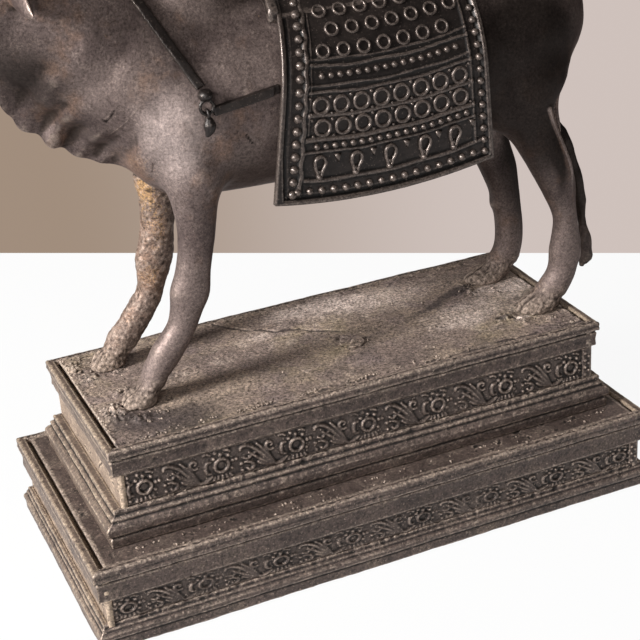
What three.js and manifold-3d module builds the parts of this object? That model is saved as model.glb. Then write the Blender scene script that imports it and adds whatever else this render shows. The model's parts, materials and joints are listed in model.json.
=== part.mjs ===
// Bronze temple bull on a two-tier plinth, built up from separate castings. Millimetres, +Z up.
// The bull faces -X; the plinth's long sides face -Y (near) and +Y (far).
// The origin is on the surface that the plinth stands on, under the middle of the whole statue.
import * as THREE from "three";
import { mergeVertices } from "three/addons/utils/BufferGeometryUtils.js";
import Module from "manifold-3d";

const wasm = await Module();
wasm.setup();

// Plinth: heights are measured from the surface that it stands on
const lowerHeight = 49.3; // top of the ledge plate
const upperHeight = 56.2; // ledge plate's top to the deck's top
const deckAhead = 66.5; // deck in front of the near foreleg's line
const deckBehind = 4.5; // deck behind the near hind cannon's line
const upperDepth = 115; // over the front and back walls
const ledgeWide = 20; // how far the lower tier's walls stand out beyond the upper tier's
const ledgeMore = 0.5; // and how much more than that at the two ends
const wallThick = 3.5;
const plateThick = 4;
const brazeGap = 0.05; // hairline between brazed plates and strips

// Plinth mouldings: how far each strip stands out from its wall, and its height
const rimRise = 0.7; // cornice strips stand this far above the plate they frame
const endChannel = 3; // open channel between the deck and the cornices of the two ends
const friezeThick = 2;
const upperMould = { cornice: 4.2, endCornice: 4.6, base: 6.4, endBase: 10.5 };
const upperBands = { plinth: 6.3, base: 21.2, frieze: 40.7 };
const lowerMould = { cornice: 4.4, endCornice: 5, base: 4.6, endBase: 6 };
const lowerBands = { base: 16, frieze: 30 };
const ringSpacing = 43.9;
const ringRadius = 5;
const ringHole = 3;
const ringProud = 0.9;
const leafLength = 15;
const leafThick = 1.6;

// Bull: heights are measured from the deck
const bullTurn = -2.13; // degrees, the bull stands slightly askew on its plinth
const bullAside = 5.2;
const legHeight = 104; // deck to belly
const bodyLength = 280;
const bodyDepth = 106; // belly to back
const bodyWidth = 88;
const bodyMiddle = 28; // middle of the barrel, behind the plinth's middle
const foreTrack = 52; // between the middles of the fore hooves
const hindTrack = 53;
const foreSetback = 33; // from the front of the body to the near foreleg's line
const hindSetback = 27; // from the rear of the body to the near hind cannon's line
const farForeAhead = 4; // how much further forward the far foreleg stands
const farForeSink = 4; // and how much lower its joints are
const farHindAhead = 7.5;
const farHindSink = 9;
const foreLegDeep = 46; // widest, fore and aft, at the shoulder
const hindLegDeep = 66; // widest, at the thigh
const legRound = 15; // a leg this thin is as wide as it is deep
const legSplay = 5; // how far the upper leg stands outside its hoof
const neckLength = 92;
const neckDeep = 84;
const neckWide = 66;
const neckSetback = 36; // from the front of the body to the neck's root
const neckRise = 12; // the neck's root above the middle of the body
const neckArch = 10;
const humpHigh = 44;
const humpLong = 74;
const humpWide = 50;
const humpSetback = 47;
const headLength = 90;
const headDeep = 58;
const headWide = 54;
const hornLength = 40;
const hornThick = 15;
const earLength = 36;
const tailThick = 5.4;
const castGap = 0.3; // between castings that are fitted to each other

// Tangs that hold the hooves to the deck, and the plug that fills the deck's casting hole
const tangRadius = 3;
const roveRadius = 6;
const roveThick = 1.5;
const tangHead = 4.4;
const plugRadius = 6;
const plugForward = 14;
const plugAside = -10.7;
const plugLip = 1.4;
const plugRise = 1.1;

// Saddle cloth and harness
const clothThick = 2.4;
const clothRim = 1.4;
const clothRimWide = 3.4;
const clothSetback = 73; // from the front of the body to the cloth's front edge, at the hem
const clothAhead = 77; // from the cloth's back edge to the rear of the body
const clothLean = 0.2; // how far back the front edge leans for each millimetre up
const clothDrop = 3.6; // the hem's sag between its corners
const clothFlare = 1.6;
const seatThick = 3.2;
const seatHalf = 30; // half the seat's width, across the back
const seatRoll = 2.6; // the padded roll along the seat's front and back edge
const strapWide = 5;
const strapThick = 2.8;
const strapDrop = 8; // the strap starts this far below the knot
const collarAhead = 6; // the collar's line passes this far ahead of the body, high above the back
const collarRise = 60;
const knotSetback = 45; // from the front of the body to the knot
const knotRise = 13; // the knot above the middle of the body
const knotSize = 4;
const loopRadius = 3.6;
const loopWire = 0.95;
const eyeRadius = 2;
const eyeWire = 0.65;
const tasselLength = 9.6;
const tasselWide = 5.4;
const tasselClear = 0.8;

const bodyFront = bodyMiddle - bodyLength / 2;
const bodyRear = bodyMiddle + bodyLength / 2;
const backLine = legHeight + bodyDepth;
const bodyHeart = legHeight + bodyDepth / 2;
const clothFront = bodyFront + clothSetback;
const clothBack = bodyRear - clothAhead;
const foreStance = bodyFront + foreSetback;
const hindStance = bodyRear - hindSetback;

const deckTop = lowerHeight + upperHeight;
const upperLength = deckAhead + hindStance - foreStance + deckBehind; // over the end walls
const bullForward = upperLength / 2 - deckBehind - hindStance;
const lowerLength = upperLength + 2 * (ledgeWide + ledgeMore);
const lowerDepth = upperDepth + 2 * ledgeWide;
const beyond = 2 * (lowerLength + deckTop + backLine); // cutting blocks reach this far, past everything
const toRadians = THREE.MathUtils.degToRad;

const bronze = { color: 0x5b5048, metalness: 0.85, roughness: 0.52 };
const materials = {
  plinth: new THREE.MeshStandardMaterial({ ...bronze, color: 0x6d5f52, roughness: 0.62 }),
  frieze: new THREE.MeshStandardMaterial({ ...bronze, color: 0x4e453d }),
  body: new THREE.MeshStandardMaterial({ ...bronze, color: 0x5a4f4a }),
  gilt: new THREE.MeshStandardMaterial({ ...bronze, color: 0x8a6a45 }),
  cloth: new THREE.MeshStandardMaterial({ ...bronze, color: 0x3c3530 }),
};

const statue = new THREE.Group();
const plinth = new THREE.Group();
const bull = new THREE.Group();
bull.rotation.z = toRadians(bullTurn);
bull.position.set(bullForward, bullAside, deckTop);
statue.add(plinth, bull);

// Closed surface to solid, and back
function toSolid(geometry) {
  const bare = geometry.index ? geometry.toNonIndexed() : geometry.clone();
  bare.deleteAttribute("normal");
  bare.deleteAttribute("uv");
  const merged = mergeVertices(bare, 1e-4);
  return new wasm.Manifold(
    new wasm.Mesh({
      numProp: 3,
      vertProperties: merged.attributes.position.array,
      triVerts: new Uint32Array(merged.index.array),
    }),
  );
}

function toGeometry(solid) {
  const { vertProperties, triVerts } = solid.getMesh();
  const geometry = new THREE.BufferGeometry();
  geometry.setAttribute("position", new THREE.BufferAttribute(vertProperties, 3));
  geometry.setIndex(new THREE.BufferAttribute(triVerts, 1));
  geometry.computeVertexNormals();
  return geometry;
}

// The largest of a cut solid's pieces, so that no sliver is kept with it
function mainPiece(solid) {
  return solid.decompose().reduce((a, b) => (a.volume() > b.volume() ? a : b));
}

function addPiece(parent, name, solid, material) {
  const mesh = new THREE.Mesh(toGeometry(mainPiece(solid)), materials[material]);
  mesh.name = name;
  parent.add(mesh);
  return mesh;
}

function boxSolid(low, high) {
  const size = high.map((h, i) => h - low[i]);
  const box = new THREE.BoxGeometry(...size);
  box.translate(...low.map((l, i) => l + size[i] / 2));
  return toSolid(box);
}

// A cylinder that stands along +Z from a base point
function postSolid(base, radius, height, sides = 20) {
  const post = new THREE.CylinderGeometry(radius, radius, height, sides);
  post.rotateX(Math.PI / 2);
  post.translate(base[0], base[1], base[2] + height / 2);
  return toSolid(post);
}

// Rings of points joined into one closed skin, its ends closed by fans
function loft(rings) {
  const count = rings[0].length;
  const points = rings.flat();
  const faces = [];
  for (let r = 0; r + 1 < rings.length; r += 1) {
    for (let i = 0; i < count; i += 1) {
      const a = r * count + i;
      const b = r * count + ((i + 1) % count);
      faces.push(a, b, a + count, b, b + count, a + count);
    }
  }
  const closeEnd = (first, turned) => {
    const middle = new THREE.Vector3();
    for (let i = 0; i < count; i += 1) middle.add(points[first + i]);
    points.push(middle.divideScalar(count));
    for (let i = 0; i < count; i += 1) {
      const a = first + i;
      const b = first + ((i + 1) % count);
      faces.push(points.length - 1, ...(turned ? [b, a] : [a, b]));
    }
  };
  closeEnd(0, true);
  closeEnd((rings.length - 1) * count, false);
  const geometry = new THREE.BufferGeometry();
  geometry.setAttribute("position", new THREE.Float32BufferAttribute(points.flatMap((p) => p.toArray()), 3));
  geometry.setIndex(faces);
  return toSolid(geometry);
}

// A limb: round sections of the given width and depth, square to the line through their middles.
// across is the direction in which a section's width is measured.
function limb(stations, { sides = 12, across = new THREE.Vector3(0, 1, 0), grow = 0 } = {}) {
  const middles = stations.map((s) => new THREE.Vector3(...s.at));
  const rings = stations.map((s, i) => {
    const before = middles[Math.max(i - 1, 0)];
    const after = middles[Math.min(i + 1, middles.length - 1)];
    const along = s.along ? new THREE.Vector3(...s.along) : after.clone().sub(before);
    const up = across.clone().cross(along.normalize()).normalize();
    const side = along.clone().cross(up);
    return Array.from({ length: sides }, (_, k) => {
      const turn = (2 * Math.PI * k) / sides;
      return middles[i]
        .clone()
        .addScaledVector(side, Math.cos(turn) * (s.wide / 2 + grow))
        .addScaledVector(up, -Math.sin(turn) * (s.deep / 2 + grow));
    });
  });
  const solid = loft(rings);
  return solid.volume() < 0 ? loft(rings.map((ring) => ring.reverse())) : solid;
}

// A limb along a smooth curve through a few stations
function smoothLimb(stations, steps, options) {
  const line = new THREE.CatmullRomCurve3(stations.map((s) => new THREE.Vector3(...s.at)));
  const sizes = new THREE.CatmullRomCurve3(stations.map((s) => new THREE.Vector3(s.wide, s.deep, 0)));
  const fine = Array.from({ length: steps + 1 }, (_, i) => {
    const at = line.getPoint(i / steps);
    const size = sizes.getPoint(i / steps);
    return { at: at.toArray(), wide: size.x, deep: size.y };
  });
  return limb(fine, options);
}

// A strip moulding: its section, as points [out, up], runs along X and faces -Y.
// Its ends are mitred: over its own projection it grows by that of the strips round the corner.
function stripSolid(section, length, proud, returnProud) {
  const shape = new THREE.Shape(section.map(([out, up]) => new THREE.Vector2(out, up)));
  const run = length + 2 * returnProud + 2;
  const strip = new THREE.ExtrudeGeometry(shape, { depth: run, bevelEnabled: false });
  strip.translate(0, 0, -run / 2);
  strip.applyMatrix4(
    new THREE.Matrix4().makeBasis(
      new THREE.Vector3(0, -1, 0),
      new THREE.Vector3(0, 0, 1),
      new THREE.Vector3(-1, 0, 0),
    ),
  );
  const inner = length / 2 - brazeGap;
  const outer = inner + returnProud;
  const plan = [[-inner, 0], [-outer, -proud], [-outer, -proud - 1], [outer, -proud - 1], [outer, -proud], [inner, 0]];
  const mitre = new THREE.Shape(plan.map(([x, y]) => new THREE.Vector2(x, y)));
  const block = new THREE.ExtrudeGeometry(mitre, { depth: 3 * deckTop, bevelEnabled: false });
  block.translate(0, 0, -deckTop);
  return toSolid(strip).intersect(toSolid(block));
}

// The four sides of a tier: which way each faces, and what it measures
const sides = [
  { name: "near", turn: 0, end: false },
  { name: "far", turn: 180, end: false },
  { name: "head_end", turn: -90, end: true },
  { name: "tail_end", turn: 90, end: true },
];

function rollSection(proud, bottom, top) {
  const lip = (top - bottom) * 0.3;
  return [
    [brazeGap, bottom],
    [proud * 0.62, bottom],
    [proud * 0.72, top - 2.1 * lip],
    [proud * 0.55, top - 1.9 * lip],
    [proud * 0.94, top - 1.5 * lip],
    [proud, top - 0.9 * lip],
    [proud * 0.9, top - 0.25 * lip],
    [proud * 0.62, top],
    [brazeGap, top],
  ];
}

function baseSection(proud, bottom, plinthTop, top) {
  const rise = top - plinthTop;
  const flat = plinthTop - bottom > 1 ? [[proud * 0.86, bottom], [proud * 0.86, plinthTop]] : [[proud, bottom]];
  return [
    [brazeGap, bottom],
    ...flat,
    [proud, plinthTop + rise * 0.04],
    [proud, plinthTop + rise * 0.42],
    [proud * 0.66, plinthTop + rise * 0.66],
    [proud * 0.44, plinthTop + rise * 0.76],
    [proud * 0.44, top],
    [brazeGap, top],
  ];
}

// A frieze strip with its row of ring rosettes and the pair of leaves between each two
function friezeSolid(length, bottom, top) {
  const middle = (bottom + top) / 2;
  const face = -friezeThick;
  let strip = boxSolid([-length / 2, face, bottom], [length / 2, -brazeGap, top]);
  const rings = Math.floor(length / ringSpacing + 0.6);
  const scale = Math.min(1, (top - bottom) / (4 * ringRadius - 1));
  for (let i = 0; i < rings; i += 1) {
    const x = (i - (rings - 1) / 2) * ringSpacing;
    const disc = (radius) => {
      const cut = new THREE.CylinderGeometry(radius * scale, radius * scale, 2 * ringProud, 12);
      return toSolid(cut.translate(x, face, middle));
    };
    strip = strip.add(disc(ringRadius)).subtract(disc(ringHole));
    if (i + 1 === rings) continue;
    for (const lean of [-1, 1]) {
      const leaf = new THREE.BoxGeometry(leafThick, 2 * ringProud, leafLength * scale);
      leaf.rotateY(toRadians(lean * 38));
      strip = strip.add(toSolid(leaf.translate(x + ringSpacing / 2 + lean * leafThick * 3, face, middle)));
    }
  }
  return strip;
}

// One tier: four walls, the strips round them and the plate that they carry
function tier({ name, length, depth, bottom, top, bands, mould }) {
  const plateBottom = top - plateThick;
  for (const side of sides) {
    const across = side.end ? length : depth;
    const run = side.end ? depth : length;
    const cornice = side.end ? mould.endCornice : mould.cornice;
    const base = side.end ? mould.endBase : mould.base;
    const returnCornice = side.end ? mould.cornice : mould.endCornice;
    const returnBase = side.end ? mould.base : mould.endBase;
    const wallRun = side.end ? run : run - 2 * (wallThick + brazeGap);
    const plan = new THREE.Group();
    plan.rotation.z = toRadians(side.turn);
    plinth.add(plan);

    const wallFoot = bottom + (bottom > 0 ? brazeGap : 0);
    let wall = boxSolid([-wallRun / 2, 0, wallFoot], [wallRun / 2, wallThick, plateBottom - brazeGap]);
    if (side.end) {
      const ear = friezeThick + 0.4;
      const reach = wallRun / 2 + ear;
      const low = bottom + bands.base + brazeGap;
      const high = bottom + bands.frieze - brazeGap;
      wall = wall.add(boxSolid([-reach, 0, low], [reach, wallThick, high]));
    }
    const place = (solid) => solid.translate([0, -across / 2, 0]);
    const label = (piece) => `${name}_${piece}_${side.name}`;
    addPiece(plan, label("wall"), place(wall), "plinth");

    const corniceFoot = bottom + bands.frieze + brazeGap;
    const corniceSection = rollSection(cornice, corniceFoot, top + rimRise);
    const rim = stripSolid(corniceSection, run, cornice, returnCornice);
    addPiece(plan, label("cornice"), place(rim), "plinth");

    const plinthTop = bottom + (bands.plinth ?? 0);
    const section = baseSection(base, wallFoot, plinthTop, bottom + bands.base - brazeGap);
    const foot = stripSolid(section, run, base, returnBase);
    addPiece(plan, label("base_moulding"), place(foot), "plinth");

    if (!side.end) {
      const friezeRun = run - 2 * (wallThick + 2 * brazeGap);
      const frieze = friezeSolid(friezeRun, bottom + bands.base + brazeGap, bottom + bands.frieze - brazeGap);
      addPiece(plan, label("frieze"), place(frieze), "frieze");
    }
  }
}

// Where a point of the bull's own frame lies on the plinth
function onDeck(x, y) {
  const turn = toRadians(bullTurn);
  return [
    x * Math.cos(turn) - y * Math.sin(turn) + bullForward,
    x * Math.sin(turn) + y * Math.cos(turn) + bullAside,
  ];
}

// Barrel of the body: its stations are shares of its length, depth and width from the belly line
function barrelStations() {
  const shares = [
    [-0.5, 0.5, 0.16, 0.2],
    [-0.485, 0.495, 0.42, 0.46],
    [-0.45, 0.485, 0.74, 0.76],
    [-0.38, 0.48, 0.93, 0.91],
    [-0.27, 0.5, 1.0, 0.955],
    [-0.15, 0.495, 1.01, 0.985],
    [0, 0.49, 1.0, 1.0],
    [0.13, 0.5, 0.985, 1.0],
    [0.26, 0.54, 0.92, 0.965],
    [0.37, 0.595, 0.82, 0.88],
    [0.44, 0.625, 0.66, 0.73],
    [0.485, 0.64, 0.42, 0.48],
    [0.5, 0.645, 0.16, 0.2],
  ];
  return shares.map(([along, rise, deep, wide]) => ({
    at: [bodyMiddle + along * bodyLength, 0, legHeight + rise * bodyDepth],
    deep: deep * bodyDepth,
    wide: wide * bodyWidth,
    along: [1, 0, 0],
  }));
}

const barrel = (grow) => limb(barrelStations(), { sides: 22, grow });

// Half the barrel's width at a place along it and a height above the deck
function flank(x, height) {
  const stations = barrelStations();
  const next = Math.max(1, stations.findIndex((s) => s.at[0] >= x));
  const [a, b] = [stations[next - 1], stations[next]];
  const share = (x - a.at[0]) / (b.at[0] - a.at[0]);
  const mix = (from, to) => from + (to - from) * share;
  const rise = (height - mix(a.at[2], b.at[2])) / (mix(a.deep, b.deep) / 2);
  return (mix(a.wide, b.wide) / 2) * Math.sqrt(Math.max(0, 1 - rise * rise));
}

// Neck: it leaves the shoulders and climbs forward to the head
const neckSlope = toRadians(34);
const alongNeck = (share) => [
  bodyFront + neckSetback - share * neckLength * Math.cos(neckSlope),
  0,
  bodyHeart + neckRise + share * neckLength * Math.sin(neckSlope) + neckArch * share * share,
];
function neckForm(grow) {
  const shares = [
    [-0.3, 0.9, 0.84],
    [0, 1.1, 1.12],
    [0.25, 1.06, 1.04],
    [0.5, 1.0, 0.93],
    [0.75, 0.92, 0.83],
    [1, 0.8, 0.72],
    [1.14, 0.5, 0.46],
  ];
  const stations = shares.map(([share, deep, wide]) => ({
    at: alongNeck(share),
    deep: deep * neckDeep,
    wide: wide * neckWide,
  }));
  const neck = limb(stations, { sides: 18, grow });
  const humpFoot = backLine - humpHigh * 0.364;
  const humpShares = [
    [0.027, 0, 1, 1],
    [0.041, 0.42, 0.892, 0.88],
    [0.081, 0.78, 0.716, 0.7],
    [0.135, 1.06, 0.459, 0.48],
    [0.176, 1.2, 0.162, 0.2],
  ];
  const humpStations = humpShares.map(([back, rise, long, wide]) => ({
    at: [bodyFront + humpSetback + back * humpLong, 0, humpFoot + rise * humpHigh],
    deep: long * humpLong,
    wide: wide * humpWide,
  }));
  return neck.add(limb(humpStations, { sides: 18, grow }));
}

// Dewlap: a thin plate under the neck that ripples towards its free edge
function dewlapForm(grow) {
  const headFoot = alongNeck(1);
  const edge = new THREE.CatmullRomCurve3([
    new THREE.Vector3(headFoot[0] - 16, 0, headFoot[2] - 26),
    new THREE.Vector3(bodyFront - 50, 0, bodyHeart + 9),
    new THREE.Vector3(bodyFront - 34, 0, bodyHeart - 7),
    new THREE.Vector3(bodyFront - 15, 0, bodyHeart - 21),
    new THREE.Vector3(bodyFront + 4, 0, bodyHeart - 31),
    new THREE.Vector3(bodyFront + 26, 0, bodyHeart - 38),
    new THREE.Vector3(bodyFront + 46, 0, bodyHeart - 46),
  ]);
  const steps = 22;
  const inward = new THREE.Vector3(0.62, 0, 0.78);
  const depths = [0, 4, 14, 30, 46];
  const folds = 4.5;
  const rings = Array.from({ length: steps + 1 }, (_, i) => {
    const share = i / steps;
    const rim = edge.getPoint(share);
    const skin = (side) =>
      depths.map((depth, k) => {
        const loose = 1 - k / (depths.length - 1);
        const ripple = 3.4 * loose * loose * Math.sin(2 * Math.PI * folds * share + 0.5);
        const half = 1.8 + depth * 0.17 + grow;
        const at = rim.clone().addScaledVector(inward, depth - (k === 0 ? grow : 0));
        at.y = ripple * Math.sin(Math.PI * Math.min(1, share * 1.15)) + side * half;
        return at;
      });
    return [...skin(1), ...skin(-1).reverse()];
  });
  const solid = loft(rings);
  return solid.volume() < 0 ? loft(rings.map((ring) => ring.reverse())) : solid;
}

// Legs: stations run from inside the body down to the hoof. Each is how far back and how high it is,
// as shares of the leg's height, its width fore and aft and how far it is splayed, as shares of theirs.
const foreLeg = [
  [0.125, 1.52, 0.739, 0],
  [0.096, 1.36, 1, 0.6],
  [0.072, 1.2, 0.87, 1],
  [0.053, 1.08, 0.62, 1],
  [0.04, 0.92, 0.47, 0.8],
  [0.019, 0.79, 0.417, 0.68],
  [-0.015, 0.63, 0.439, 0.48],
  [-0.04, 0.53, 0.417, 0.36],
  [-0.088, 0.405, 0.378, 0.28],
  [-0.15, 0.305, 0.37, 0.2],
  [-0.217, 0.21, 0.361, 0.12],
  [-0.279, 0.13, 0.357, 0.04],
  [-0.346, 0.06, 0.435, 0],
  [-0.365, 0, 0.478, 0],
];
const hindLeg = [
  [-0.154, 1.68, 0.667, -0.6],
  [-0.183, 1.52, 1, 0.2],
  [-0.221, 1.34, 0.909, 0.8],
  [-0.231, 1.18, 0.636, 1],
  [-0.154, 1.05, 0.47, 1],
  [-0.09, 0.96, 0.4, 1],
  [-0.033, 0.85, 0.376, 1],
  [0.008, 0.74, 0.324, 0.8],
  [0.031, 0.64, 0.258, 0.68],
  [0.054, 0.52, 0.236, 0.56],
  [0.065, 0.4, 0.261, 0.4],
  [0.065, 0.3, 0.27, 0.28],
  [0.048, 0.2, 0.267, 0.2],
  [-0.01, 0.105, 0.318, 0.08],
  [-0.091, 0.045, 0.394, 0],
  [-0.115, 0, 0.424, 0],
];

function legForm({ plan, deepest, stance, track, side, sink }) {
  const stations = plan.map(([back, rise, share, splay]) => {
    const upper = Math.max(0, rise - 1);
    const drop = sink * Math.sin(Math.PI * Math.min(1, rise));
    const deep = share * deepest;
    const out = splay * legSplay - upper * 2.8 * legSplay;
    return {
      at: [stance + back * legHeight, side * (track / 2 + out), rise * legHeight - drop],
      deep,
      wide: Math.min(deep, legRound + (deep - legRound) * 0.42),
      along: rise < 0.12 ? [0, 0, -1] : undefined,
    };
  });
  return limb(stations, { sides: 14 });
}

// The two legs of a pair aren't quite alike: the far ones stand further forward, their joints lower
const fore = { plan: foreLeg, deepest: foreLegDeep, track: foreTrack };
const hind = { plan: hindLeg, deepest: hindLegDeep, track: hindTrack };
const farFore = { stance: foreStance - farForeAhead, sink: farForeSink };
const farHind = { stance: hindStance - farHindAhead, sink: farHindSink };
const legs = [
  { name: "near_foreleg", ...fore, side: -1, stance: foreStance, sink: 0, material: "body" },
  { name: "far_foreleg", ...fore, side: 1, ...farFore, material: "gilt" },
  { name: "near_hind_leg", ...hind, side: -1, stance: hindStance, sink: 0, material: "body" },
  { name: "far_hind_leg", ...hind, side: 1, ...farHind, material: "body" },
];

function hoofMiddle({ plan, stance, track, side }) {
  return [stance + plan[plan.length - 1][0] * legHeight, (side * track) / 2];
}

// Head: from the nape to the muzzle, with horns and ears let into it
const headSlope = toRadians(32);
const nape = alongNeck(1.02);
const alongHead = (share, lift = 0) => [
  nape[0] + 8 - share * headLength * Math.cos(headSlope) + lift * Math.sin(headSlope),
  0,
  nape[2] + 8 - share * headLength * Math.sin(headSlope) + lift * Math.cos(headSlope),
];
function headForm(grow) {
  const shares = [
    [0, 0.5, 0.55, 0],
    [0.06, 0.86, 0.86, 0],
    [0.2, 1.0, 1.0, 0],
    [0.36, 0.95, 0.98, 0],
    [0.52, 0.8, 0.78, -1],
    [0.7, 0.64, 0.62, -2],
    [0.85, 0.6, 0.64, -2],
    [0.96, 0.56, 0.66, -2],
    [1.0, 0.38, 0.46, -2],
  ];
  const stations = shares.map(([share, deep, wide, lift]) => ({
    at: alongHead(share, lift),
    deep: deep * headDeep,
    wide: wide * headWide,
    along: [-Math.cos(headSlope), 0, -Math.sin(headSlope)],
  }));
  return limb(stations, { sides: 16, grow });
}

function hornForm(side, grow = 0) {
  const root = alongHead(0.13, headDeep * 0.3);
  const at = (out, up, back) => [root[0] + back, side * (headWide * 0.28 + out), root[2] + up];
  const stations = [
    { at: at(-2, -3, 0), wide: hornThick, deep: hornThick },
    { at: at(hornLength * 0.16, hornLength * 0.18, 1), wide: hornThick * 0.92, deep: hornThick * 0.92 },
    { at: at(hornLength * 0.3, hornLength * 0.42, 3), wide: hornThick * 0.74, deep: hornThick * 0.74 },
    { at: at(hornLength * 0.34, hornLength * 0.68, 4), wide: hornThick * 0.52, deep: hornThick * 0.52 },
    { at: at(hornLength * 0.28, hornLength * 0.9, 2), wide: hornThick * 0.22, deep: hornThick * 0.22 },
  ];
  return smoothLimb(stations, 9, { sides: 10, across: new THREE.Vector3(1, 0, 0), grow });
}

function earForm(side) {
  const root = alongHead(0.12, 0);
  const at = (out, up) => [root[0] + 2 + out * 0.12, side * (headWide * 0.36 + out), root[2] + up];
  const stations = [
    { at: at(-3, 0), wide: 6, deep: 8 },
    { at: at(earLength * 0.24, -1), wide: 6, deep: 15 },
    { at: at(earLength * 0.5, -3), wide: 5, deep: 18 },
    { at: at(earLength * 0.78, -6), wide: 4, deep: 12 },
    { at: at(earLength, -9), wide: 2, deep: 3 },
  ];
  return smoothLimb(stations, 8, { sides: 10, across: new THREE.Vector3(1, 0, 0) });
}

// Tail: it drops from the rump, clears the hocks and ends in a tuft
function tailForm() {
  const top = legHeight + bodyDepth * 0.86;
  const stations = [
    { at: [bodyRear - 10, 0, top + 3], wide: 12, deep: 12 },
    { at: [bodyRear - 1, 0, top - 5], wide: 9, deep: 8 },
    { at: [bodyRear + 4, 0, top - 28], wide: tailThick + 1.4, deep: tailThick + 0.4 },
    { at: [bodyRear - 1, 0, top - 54], wide: tailThick + 0.6, deep: tailThick },
    { at: [bodyRear - 8, 0, legHeight + 7], wide: tailThick, deep: tailThick },
    { at: [bodyRear + 2, 0, legHeight - 20], wide: tailThick, deep: tailThick },
    { at: [bodyRear + 9, 0, legHeight - 50], wide: tailThick, deep: tailThick },
    { at: [bodyRear + 11, 0, legHeight - 66], wide: tailThick + 0.4, deep: tailThick + 0.6 },
    { at: [bodyRear + 12.5, 0, legHeight - 78], wide: tailThick + 3, deep: tailThick + 3.6 },
    { at: [bodyRear + 14, 0, legHeight - 88], wide: tailThick + 4, deep: tailThick + 5 },
    { at: [bodyRear + 11, 0, legHeight - 98], wide: 3, deep: 3 },
  ];
  return smoothLimb(stations, 26, { sides: 10 });
}

// Saddle cloth: a sheet that lies over the back and hangs straight from the widest part
const clothTop = backLine - bodyDepth * 0.02;
const hemHeight = legHeight + 3;
const clothInside = bodyWidth / 2 + castGap + 0.4;
function clothSection(outset) {
  const points = [];
  const steps = 9;
  for (let i = 0; i <= steps; i += 1) {
    const turn = (Math.PI / 2) * (i / steps);
    const rise = (backLine - bodyHeart + 0.8 + castGap + outset) * Math.cos(turn);
    points.push([-(clothInside + outset) * Math.sin(turn), bodyHeart + rise]);
  }
  points.push([-(clothInside + clothFlare * 0.5 + outset), (bodyHeart + hemHeight) / 2]);
  points.push([-(clothInside + clothFlare + outset), hemHeight - 12]);
  return points;
}

function sheetSolid(inner, outer) {
  const outline = [...clothSection(outer), ...clothSection(inner).reverse()];
  const shape = new THREE.Shape(outline.map(([y, z]) => new THREE.Vector2(y, z)));
  const run = clothBack - clothFront + bodyWidth;
  const sheet = new THREE.ExtrudeGeometry(shape, { depth: run, bevelEnabled: false });
  sheet.translate(0, 0, (clothBack + clothFront) / 2 - run / 2);
  sheet.applyMatrix4(
    new THREE.Matrix4().makeBasis(
      new THREE.Vector3(0, 1, 0),
      new THREE.Vector3(0, 0, 1),
      new THREE.Vector3(1, 0, 0),
    ),
  );
  return toSolid(sheet);
}

// The panel's outline as seen from the side, drawn in by inset on its three free edges
function panelBlank(inset) {
  const lean = clothLean * (backLine - hemHeight);
  const shape = new THREE.Shape();
  shape.moveTo(clothFront + inset, hemHeight + inset);
  shape.quadraticCurveTo(
    (clothFront + clothBack) / 2,
    hemHeight - 2 * clothDrop + inset,
    clothBack - inset,
    hemHeight + 1 + inset,
  );
  shape.lineTo(clothBack - inset - 2, backLine + humpHigh);
  shape.lineTo(clothFront + lean + inset, backLine + humpHigh);
  const blank = new THREE.ExtrudeGeometry(shape, { depth: beyond, bevelEnabled: false, curveSegments: 8 });
  blank.translate(0, 0, -beyond / 2);
  blank.rotateX(Math.PI / 2);
  return toSolid(blank);
}

function panelSolid() {
  const blank = panelBlank(0);
  const sheet = sheetSolid(0, clothThick).intersect(blank);
  const rim = sheetSolid(0, clothThick + clothRim).intersect(blank.subtract(panelBlank(clothRimWide)));
  const below = boxSolid([-beyond, -beyond, -beyond], [beyond, -seatHalf - brazeGap, beyond]);
  return sheet.add(rim).intersect(below);
}

function seatSolid() {
  const between = boxSolid([-beyond, -seatHalf, bodyHeart], [beyond, seatHalf, beyond]);
  const half = sheetSolid(0, seatThick).intersect(panelBlank(0));
  const edge = panelBlank(0).subtract(panelBlank(clothRimWide * 1.6));
  const roll = sheetSolid(0, seatThick + seatRoll).intersect(edge);
  const near = half.add(roll);
  return near.add(near.mirror([0, 1, 0])).intersect(between);
}

// Harness: a collar over the neck that ends in a knot behind each shoulder, and a strap from there
// back to the cloth. Both are bands cut from a coat over the body, along a line seen from the side.
const knotAt = [bodyFront + knotSetback, bodyHeart + knotRise];
const collarTop = [bodyFront - collarAhead, backLine + collarRise];
const strapFrom = [knotAt[0] + loopRadius, knotAt[1] - strapDrop];
const strapBack = [clothFront + 12, strapFrom[1] + 6];

function bandSolid(from, to, width, thick) {
  const run = Math.hypot(to[0] - from[0], to[1] - from[1]);
  const slab = new THREE.BoxGeometry(run, beyond, width);
  slab.rotateY(-Math.atan2(to[1] - from[1], to[0] - from[0]));
  slab.translate((from[0] + to[0]) / 2, 0, (from[1] + to[1]) / 2);
  const coat = barrel(castGap + thick).add(neckForm(castGap + thick));
  return coat.intersect(toSolid(slab)).subtract(trunkCut).subtract(neckCut);
}

function ringSolid(radius, wire, at, turn) {
  const ring = new THREE.TorusGeometry(radius, wire, 8, 16);
  turn(ring);
  return toSolid(ring.translate(...at));
}

// The tassel hangs in a fixed loop below the knot; it turns on the loop's lowest wire
const tasselAside = flank(knotAt[0], bodyHeart) + tasselClear + tasselWide / 2;
const loopMiddle = knotAt[1] - loopRadius - 1;
const pivotHeight = loopMiddle - loopRadius;

function loopForm(side) {
  const at = [knotAt[0], side * tasselAside, loopMiddle];
  const loop = ringSolid(loopRadius, loopWire, at, (ring) => ring.rotateX(Math.PI / 2));
  const knot = new THREE.SphereGeometry(knotSize, 12, 8);
  knot.scale(1, 1.1, 0.8);
  knot.translate(knotAt[0], side * (tasselAside - 1), knotAt[1] + 1.4);
  return loop.add(toSolid(knot));
}

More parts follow.
